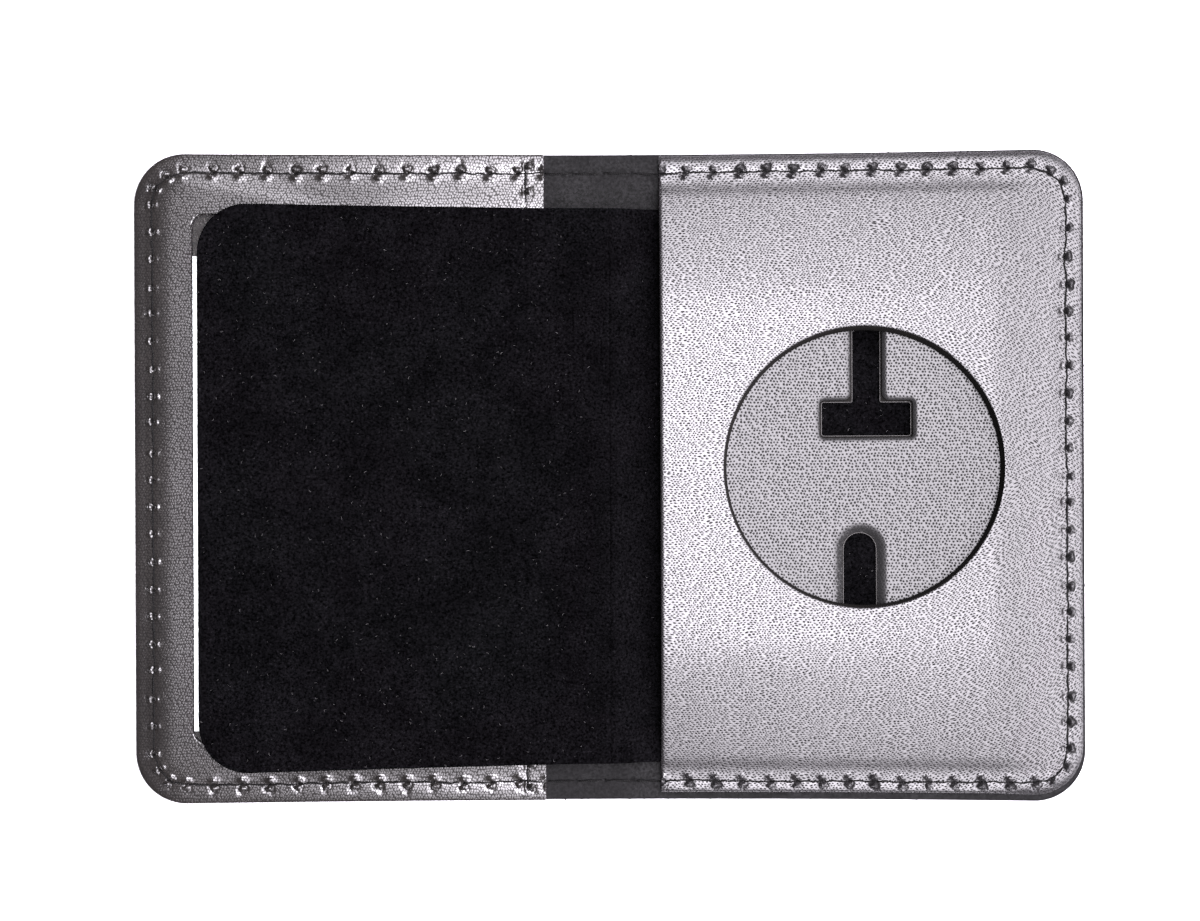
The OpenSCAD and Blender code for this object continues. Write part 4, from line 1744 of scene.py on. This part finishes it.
class WALLET_OT_flap(bpy.types.Operator):
    """Build both parts of the velvet faced flap"""

    bl_idname = "wallet.flap"
    bl_label = "Flap"

    def execute(self, context):
        leather_ply = (0, PLY_LEATHER, FLAP_ROLL, 2.5, [flap_leather(), cut_edge()])
        velvet_ply = (PLY_LEATHER, PLY_VELVET, VELVET_ROLL, 1.8, [velvet()])
        leaf = (-1, "flap", LEAF_UNDER)
        root = (1, "badge_half", BASE_Z)
        for name, (side, body, rest), ply, slot, node_name in (
            ("leaf_leather_ply", leaf, leather_ply, "cover_leather", "flap_leather"),
            ("leaf_velvet_ply", leaf, velvet_ply, "velvet", "flap_velvet"),
            ("root_leather_ply", root, leather_ply, "cover_leather", "flap_root_leather"),
            ("root_velvet_ply", root, velvet_ply, "velvet", "flap_root_velvet"),
        ):
            piece = self.build_ply(name, side, rest, *ply)
            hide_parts(node_name)
            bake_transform(piece)
        return {"FINISHED"}

    def build_ply(self, name, side, rest, lift, thick, roll, pitch, materials):
        """One ply of the flap: side is -1 for its free part and 1 for its root."""
        def base(p):
            x = p[:, 0] * side
            sway = ripple(p, *FLAP_WAVES) * np.clip((x - CURVE_END) / FLAP_WAVE_RUN, 0, 1)
            sway *= side < 0
            return ply_height(x, rest, lift) + np.abs(sway) * FLAP_WAVE_SHARE

        def top(p, d):
            off_crease = np.clip(np.abs(p[:, 0]) / FOLD_R, 0, 1)
            return base(p) + thick - rolled(d, roll) * off_crease

        def bends(p):
            return np.abs(p[:, 0]) < CURVE_END + 0.5

        return plate(
            name, Region(flap_outline(side)), top, lambda p, d: base(p), materials, pitch=pitch,
            fine=[(0.5, bends)], fine_under=[(0.5, bends)], insets=(0.05, 0.13, 0.28), step=0.6,
        )


# Stitches


def position(tree):
    """Where each point lies, in a geometry tree."""
    return node(tree, "GeometryNodeInputPosition").outputs[0]


def stitch_tree():
    """Geometry nodes: one twisted thread along each edge of the mesh they work on."""
    name = "Stitch Row"
    if name in bpy.data.node_groups:
        return bpy.data.node_groups[name]
    tree, ends, out = group(name, "GeometryNodeTree", [
        ("Geometry", "NodeSocketGeometry", None),
        ("Thread", "NodeSocketFloat", 0.0004),
        ("Rise", "NodeSocketFloat", 0.0001),
        ("Dip", "NodeSocketFloat", 0.0006),
        ("Material", "NodeSocketMaterial", None),
    ], [("Geometry", "NodeSocketGeometry")])
    edge = node(tree, "GeometryNodeInputMeshEdgeVertices")
    along = vector_node(tree, "SUBTRACT", edge.outputs["Position 2"], edge.outputs["Position 1"])
    stored = node(tree, "GeometryNodeStoreNamedAttribute", {
        "Geometry": ends.outputs["Geometry"], "Name": "along",
    }, data_type="FLOAT_VECTOR", domain="EDGE")
    tree.links.new(along, stored.inputs["Value"])
    spots = node(
        tree, "GeometryNodeMeshToPoints", {"Mesh": stored.outputs["Geometry"]}, mode="EDGES"
    )
    line = node(tree, "GeometryNodeCurvePrimitiveLine", {"Start": (-0.5, 0, 0), "End": (0.5, 0, 0)})
    line = node(tree, "GeometryNodeResampleCurve", {"Curve": line.outputs[0], "Count": 11})
    x, _, _ = split(tree, position(tree))
    away = math_node(tree, "ABSOLUTE", math_node(tree, "MULTIPLY", x, 2.0))
    arch = math_node(tree, "SUBTRACT", 1.0, math_node(tree, "POWER", away, 4.0))
    rise = math_node(tree, "MULTIPLY", arch, ends.outputs["Rise"])
    drop = math_node(tree, "MULTIPLY", math_node(tree, "POWER", away, 6.0), ends.outputs["Dip"])
    line = node(tree, "GeometryNodeSetPosition", {
        "Geometry": line.outputs[0],
        "Offset": joined(tree, z=math_node(tree, "SUBTRACT", rise, drop)),
    })
    radius = math_node(tree, "DIVIDE", ends.outputs["Thread"], 2.0)
    profile = node(tree, "GeometryNodeCurvePrimitiveCircle", {"Resolution": 6, "Radius": radius})
    tube = node(tree, "GeometryNodeCurveToMesh", {
        "Curve": line.outputs[0], "Profile Curve": profile.outputs[0], "Fill Caps": True,
    })
    x, y, z = split(tree, position(tree))
    turn = math_node(tree, "DIVIDE", math_node(tree, "ARCTAN2", y, z), math.tau)
    lay = joined(tree, math_node(tree, "MULTIPLY", x, STITCH * MM), turn)
    tube = node(tree, "GeometryNodeStoreNamedAttribute", {
        "Geometry": tube.outputs[0], "Name": "lay",
    }, data_type="FLOAT_VECTOR", domain="POINT")
    tree.links.new(lay, tube.inputs["Value"])
    run = node(tree, "GeometryNodeInputNamedAttribute", {"Name": "along"}, data_type="FLOAT_VECTOR")
    up = node(tree, "GeometryNodeInputNamedAttribute", {"Name": "up"}, data_type="FLOAT_VECTOR")
    run = run.outputs["Attribute"]
    turned = node(tree, "FunctionNodeAxesToRotation", {
        "Primary Axis": run, "Secondary Axis": up.outputs["Attribute"],
    }, primary_axis="X", secondary_axis="Z")
    placed = node(tree, "GeometryNodeInstanceOnPoints", {
        "Points": spots.outputs[0], "Instance": tube.outputs[0], "Rotation": turned.outputs[0],
        "Scale": joined(tree, vector_node(tree, "LENGTH", run), 1.0, 1.0),
    })
    real = node(tree, "GeometryNodeRealizeInstances", {"Geometry": placed.outputs[0]})
    sway = noise(tree, position(tree), 650.0, output="Color")
    sway = vector_node(tree, "SUBTRACT", sway, (0.5, 0.5, 0.5))
    sway = vector_node(tree, "MULTIPLY", sway, tuple(width * MM for width in THREAD_SWAY))
    real = node(tree, "GeometryNodeSetPosition", {"Geometry": real.outputs[0], "Offset": sway})
    soft = node(tree, "GeometryNodeSetShadeSmooth", {"Geometry": real.outputs[0]})
    painted = node(tree, "GeometryNodeSetMaterial", {
        "Geometry": soft.outputs[0], "Material": ends.outputs["Material"],
    })
    tree.links.new(painted.outputs[0], out.inputs["Geometry"])
    return tree


def set_inputs(modifier, values):
    """Sets a modifier's inputs by the identifiers of their sockets."""
    for item in modifier.node_group.interface.items_tree:
        if item.item_type == "SOCKET" and item.in_out == "INPUT" and item.name in values:
            modifier[item.identifier] = values[item.name]


def grown(name, source, tree, values):
    """The plain mesh that a geometry tree makes from a source mesh."""
    holder = bpy.data.objects.new(name, source)
    bpy.context.scene.collection.objects.link(holder)
    modifier = holder.modifiers.new("grow", "NODES")
    modifier.node_group = tree
    set_inputs(modifier, values)
    bpy.context.view_layer.update()
    evaluated = holder.evaluated_get(bpy.context.evaluated_depsgraph_get())
    mesh = bpy.data.meshes.new_from_object(evaluated)
    holder.modifiers.remove(modifier)
    holder.data = mesh
    mesh.name = name
    for attribute in ("along", "up"):
        if attribute in mesh.attributes:
            mesh.attributes.remove(mesh.attributes[attribute])
    if not len(mesh.polygons):
        raise RuntimeError(f"{name} came out empty")
    keep_flat_place(mesh)
    return holder


def stitches(name, rows, height, side):
    """Thread along each row of needle holes, at a height, with side 1 up and -1 down."""
    verts, edges = [], []
    for row in rows:
        first = len(verts)
        p = row.holes[:, :2]
        z = height(p)
        verts += [tuple(v) for v in flared(np.column_stack((p, z))) * MM]
        edges += [(first + i, first + i + 1) for i in range(len(p) - 1)]
    source = bpy.data.meshes.new(name + "_line")
    source.from_pydata(verts, edges, [])
    ups = np.tile([0.0, 0.0, float(side)], len(edges)).astype(np.float32)
    source.attributes.new("up", "FLOAT_VECTOR", "EDGE").data.foreach_set("vector", ups)
    return grown(name, source, stitch_tree(), {
        "Thread": sizes().thread, "Rise": STITCH_RISE * MM, "Dip": STITCH_DIP * MM,
        "Material": thread(),
    })


def outer_height(p):
    """Height of the thread in the groove on the wallet's outside."""
    return np.full(len(p), GROOVE_Z - GROOVE_THREAD)


def base_height(p):
    """Height of the lining across the spine."""
    return np.full(len(p), BASE_Z)


class WALLET_OT_seams(bpy.types.Operator):
    """Sew every seam, inside and outside"""

    bl_idname = "wallet.seams"
    bl_label = "Seams"

    def execute(self, context):
        rows = seam_rows()
        thread_r = sizes().thread / MM / 2
        jobs = (
            ("id", [rows.left], "id_half", "id_seam", frame_height),
            ("badge", [rows.right], "badge_half", "badge_seam", skin_height),
            ("mouth", [rows.mouth], "id_half", "mouth_seam", frame_height),
            ("spine", rows.spine, None, "spine_seam", base_height),
        )
        for label, seam, body, node_name, height in jobs:
            def inner_height(p, height=height):
                return height(p) - STITCH_SINK * thread_r

            made = [stitches(f"{label}_stitches", seam, inner_height, 1)]
            if label != "mouth":
                made.append(stitches(f"{label}_outer_stitches", seam, outer_height, -1))
            for piece in made:
                declare(piece, "thread", body, node_name)
        return {"FINISHED"}


# Lint


def lint_tree():
    """Geometry nodes: specks and short bent fibres scattered on the faces that look up."""
    name = "Lint"
    if name in bpy.data.node_groups:
        return bpy.data.node_groups[name]
    tree, ends, out = group(name, "GeometryNodeTree", [
        ("Geometry", "NodeSocketGeometry", None),
        ("Density", "NodeSocketFloat", 20000.0),
        ("Speck", "NodeSocketFloat", 0.00007),
        ("Fibre", "NodeSocketFloat", 0.0004),
        ("Seed", "NodeSocketInt", 1),
        ("Material", "NodeSocketMaterial", None),
    ], [("Geometry", "NodeSocketGeometry")])
    _, _, rise = split(tree, node(tree, "GeometryNodeInputNormal").outputs[0])
    x, _, _ = split(tree, position(tree))
    off_bend = math_node(tree, "ABSOLUTE", x)
    off_bend = math_node(tree, "GREATER_THAN", off_bend, (BEND + LINT_GAP) * MM)
    upright = math_node(tree, "MULTIPLY", rise, off_bend)
    up = node(tree, "FunctionNodeCompare", {0: upright, 1: 0.9}, operation="GREATER_THAN")
    spots = node(tree, "GeometryNodeDistributePointsOnFaces", {
        "Mesh": ends.outputs["Geometry"], "Selection": up.outputs[0],
        "Density": ends.outputs["Density"], "Seed": ends.outputs["Seed"],
    })
    speck = node(tree, "GeometryNodeMeshIcoSphere", {
        "Radius": ends.outputs["Speck"], "Subdivisions": 1,
    })
    half = math_node(tree, "MULTIPLY", ends.outputs["Fibre"], 0.5)
    bow = node(tree, "GeometryNodeCurveQuadraticBezier", {
        "Resolution": 5, "Start": joined(tree, math_node(tree, "MULTIPLY", half, -1.0)),
        "Middle": joined(tree, y=half, z=math_node(tree, "MULTIPLY", half, 0.2)),
        "End": joined(tree, half),
    })
    hair = node(tree, "GeometryNodeCurvePrimitiveCircle", {
        "Resolution": 3, "Radius": math_node(tree, "MULTIPLY", ends.outputs["Speck"], 0.35),
    })
    fibre = node(tree, "GeometryNodeCurveToMesh", {
        "Curve": bow.outputs[0], "Profile Curve": hair.outputs[0], "Fill Caps": True,
    })
    shapes = node(tree, "GeometryNodeJoinGeometry")
    for source in (speck.outputs["Mesh"], fibre.outputs[0]):
        one = node(tree, "GeometryNodeGeometryToInstance", {0: source})
        tree.links.new(one.outputs[0], shapes.inputs[0])
    which = node(
        tree, "FunctionNodeRandomValue", {"Probability": LINT_MIX, "Seed": 3},
        data_type="BOOLEAN",
    )
    turn = node(tree, "FunctionNodeRandomValue", {
        0: (-0.1, -0.1, 0.0), 1: (0.1, 0.1, math.tau), "Seed": 5,
    }, data_type="FLOAT_VECTOR")
    scale = node(tree, "FunctionNodeRandomValue", {2: 0.35, 3: 1.25, "Seed": 9}, data_type="FLOAT")
    placed = node(tree, "GeometryNodeInstanceOnPoints", {
        "Points": spots.outputs["Points"], "Instance": shapes.outputs[0], "Pick Instance": True,
        "Instance Index": which.outputs[3], "Rotation": turn.outputs[0], "Scale": scale.outputs[1],
    })
    real = node(tree, "GeometryNodeRealizeInstances", {"Geometry": placed.outputs[0]})
    painted = node(tree, "GeometryNodeSetMaterial", {
        "Geometry": real.outputs[0], "Material": ends.outputs["Material"],
    })
    tree.links.new(painted.outputs[0], out.inputs["Geometry"])
    return tree


class WALLET_OT_lint(bpy.types.Operator):
    """Scatter a little lint on the velvet"""

    bl_idname = "wallet.lint"
    bl_label = "Lint"

    def execute(self, context):
        for k, (name, body) in enumerate((("leaf", "flap"), ("root", "badge_half"))):
            source = bpy.data.objects[f"{name}_velvet_ply"].data.copy()
            specks = grown(f"{name}_lint", source, lint_tree(), {
                "Density": sizes().lint, "Seed": studio().seed + k, "Material": lint(),
            })
            declare(specks, "velvet", body)
        return {"FINISHED"}


def fuzz_tree():
    """Geometry nodes: tiny nubs of fibre on the faces that look sideways."""
    name = "Edge Fuzz"
    if name in bpy.data.node_groups:
        return bpy.data.node_groups[name]
    tree, ends, out = group(name, "GeometryNodeTree", [
        ("Geometry", "NodeSocketGeometry", None),
        ("Density", "NodeSocketFloat", 700000.0),
        ("Nub", "NodeSocketFloat", 0.0002),
        ("Seed", "NodeSocketInt", 1),
        ("Material", "NodeSocketMaterial", None),
    ], [("Geometry", "NodeSocketGeometry")])
    _, _, rise = split(tree, node(tree, "GeometryNodeInputNormal").outputs[0])
    rise = math_node(tree, "ABSOLUTE", rise)
    side = node(tree, "FunctionNodeCompare", {0: rise, 1: 0.5}, operation="LESS_THAN")
    spots = node(tree, "GeometryNodeDistributePointsOnFaces", {
        "Mesh": ends.outputs["Geometry"], "Selection": side.outputs[0],
        "Density": ends.outputs["Density"], "Seed": ends.outputs["Seed"],
    })
    nub = node(tree, "GeometryNodeMeshIcoSphere", {
        "Radius": ends.outputs["Nub"], "Subdivisions": 1,
    })
    turn = node(tree, "FunctionNodeRandomValue", {
        0: (0.0, 0.0, 0.0), 1: (math.tau, math.tau, math.tau), "Seed": 5,
    }, data_type="FLOAT_VECTOR")
    scale = node(tree, "FunctionNodeRandomValue", {
        0: (0.25, 0.25, 0.25), 1: (0.9, 1.2, 1.9), "Seed": 9,
    }, data_type="FLOAT_VECTOR")
    placed = node(tree, "GeometryNodeInstanceOnPoints", {
        "Points": spots.outputs["Points"], "Instance": nub.outputs["Mesh"],
        "Rotation": turn.outputs[0], "Scale": scale.outputs[0],
    })
    real = node(tree, "GeometryNodeRealizeInstances", {"Geometry": placed.outputs[0]})
    painted = node(tree, "GeometryNodeSetMaterial", {
        "Geometry": real.outputs[0], "Material": ends.outputs["Material"],
    })
    tree.links.new(painted.outputs[0], out.inputs["Geometry"])
    return tree


class WALLET_OT_fuzz(bpy.types.Operator):
    """Raise a little fuzz on the cover's cut edge"""

    bl_idname = "wallet.fuzz"
    bl_label = "Edge Fuzz"

    def execute(self, context):
        source = bpy.data.objects["outer_cover"].data.copy()
        nubs = grown("cover_fuzz", source, fuzz_tree(), {
            "Density": sizes().fuzz, "Seed": studio().seed, "Material": cut_edge(True),
        })
        declare(nubs, "cover_leather", None)
        return {"FINISHED"}


# Stage


class WALLET_OT_stage(bpy.types.Operator):
    """Make the floor, the softbox, the room and the camera"""

    bl_idname = "wallet.stage"
    bl_label = "Stage"

    def execute(self, context):
        self.make_floor()
        self.make_light()
        self.make_camera()
        context.scene.view_settings.view_transform = "Standard"
        return {"FINISHED"}

    def make_floor(self):
        mesh = bpy.data.meshes.new("floor")
        half, z = FLOOR_HALF * MM, FLOOR_Z * MM
        corners = [(-half, -half, z), (half, -half, z), (half, half, z), (-half, half, z)]
        mesh.from_pydata(corners, [], [(0, 1, 2, 3)])
        material, tree, shader = new_material("floor")
        mottle = noise(tree, place_of(tree, False), 3.0, detail=3.0)
        colour = rgba(colours().floor, 0.98), rgba(colours().floor, 1.02)
        tree.links.new(blend_colour(tree, mottle, *colour), shader.inputs["Base Color"])
        shader.inputs["Roughness"].default_value = 0.9
        mesh.materials.append(material)
        floor = bpy.data.objects.new("floor", mesh)
        bpy.context.scene.collection.objects.link(floor)
        floor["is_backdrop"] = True

    def make_light(self):
        s = studio()
        lamp = bpy.data.lights.new("softbox", "AREA")
        lamp.shape = "RECTANGLE"
        lamp.size, lamp.size_y = s.lamp_size
        lamp.color = s.tint
        lamp.energy = s.lamp_radiance * math.pi * lamp.size * lamp.size_y
        holder = bpy.data.objects.new("softbox", lamp)
        holder.location = s.lamp_place
        bpy.context.scene.collection.objects.link(holder)
        self.make_tent()

    def make_tent(self):
        """A room that is dark on the left, a white tent on the right, and white to the camera."""
        s = studio()
        world = bpy.data.worlds.new("room")
        world.use_nodes = True
        tree = world.node_tree
        x, y, z = split(tree, node(tree, "ShaderNodeTexCoord").outputs["Generated"])
        slant = spread(tree, y, -0.15, 0.0, 0.057, 0.0, smooth=False)
        across = math_node(tree, "SUBTRACT", x, slant)
        light = spread(tree, across, s.tent_edge[0], s.tent_edge[1], s.dark, s.tent)
        aside = math_node(tree, "MULTIPLY", math_node(tree, "ABSOLUTE", y), ROOM_ASIDE)
        rise = math_node(tree, "MULTIPLY_ADD", x, ROOM_TILT, z)
        rise = math_node(tree, "SUBTRACT", rise, aside)
        for value, low, high, dim, full in (
            (rise, *ROOM_HORIZON), (y, *ROOM_FRONT), (y, *ROOM_BACK), (x, *ROOM_RIGHT),
        ):
            wall = spread(tree, value, low, high, dim, full, smooth=False)
            light = math_node(tree, "MULTIPLY", light, wall)
        seen = node(tree, "ShaderNodeLightPath").outputs["Is Camera Ray"]
        room = node(tree, "ShaderNodeBackground", {"Color": rgba(s.tint), "Strength": light})
        plain = node(tree, "ShaderNodeBackground", {"Color": (1, 1, 1, 1), "Strength": 1.0})
        both = node(tree, "ShaderNodeMixShader", {0: seen})
        tree.links.new(room.outputs[0], both.inputs[1])
        tree.links.new(plain.outputs[0], both.inputs[2])
        tree.links.new(both.outputs[0], tree.nodes["World Output"].inputs["Surface"])
        bpy.context.scene.world = world

    def make_camera(self):
        s = studio()
        data = bpy.data.cameras.new("camera")
        data.sensor_width = 36
        data.lens = s.lens
        data.clip_start = CLIP_NEAR * MM
        camera = bpy.data.objects.new("camera", data)
        camera.location = (s.camera_place[0], s.camera_place[1], s.camera_height)
        camera.rotation_euler = (0, 0, s.camera_roll)
        bpy.context.scene.collection.objects.link(camera)
        bpy.context.scene.camera = camera


OPERATORS = (
    WALLET_OT_outer_cover, WALLET_OT_lining, WALLET_OT_id_pocket, WALLET_OT_card,
    WALLET_OT_badge_panel, WALLET_OT_recess, WALLET_OT_flap, WALLET_OT_seams, WALLET_OT_lint,
    WALLET_OT_fuzz, WALLET_OT_stage,
)


class WALLET_PT_build(bpy.types.Panel):
    """Lists what the wallet is made of"""

    bl_idname = "WALLET_PT_build"
    bl_label = "Badge Wallet"
    bl_space_type = "VIEW_3D"
    bl_region_type = "UI"
    bl_category = "Wallet"

    def draw(self, context):
        for operator in OPERATORS:
            self.layout.operator(operator.bl_idname)
        for settings in ("wallet_sizes", "wallet_colours", "wallet_studio"):
            values = getattr(context.scene, settings)
            column = self.layout.column()
            for name in values.__annotations__:
                column.prop(values, name)


GROUPS = {
    "wallet_sizes": WalletSizes, "wallet_colours": WalletColours, "wallet_studio": WalletStudio,
}


def register():
    for cls in (*GROUPS.values(), *OPERATORS, WALLET_PT_build):
        bpy.utils.register_class(cls)
    for name, cls in GROUPS.items():
        setattr(bpy.types.Scene, name, PointerProperty(type=cls))


def unregister():
    for name in GROUPS:
        delattr(bpy.types.Scene, name)
    for cls in reversed((*GROUPS.values(), *OPERATORS, WALLET_PT_build)):
        bpy.utils.unregister_class(cls)


def main():
    register()
    for operator in OPERATORS:
        area, name = operator.bl_idname.split(".")
        getattr(getattr(bpy.ops, area), name)()
    boxes = {"cad": CAD_BOX, "visual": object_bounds()}
    {key: [list(low), list(high)] for key, (low, high) in boxes.items()}


if __name__ == "__main__":
    main()
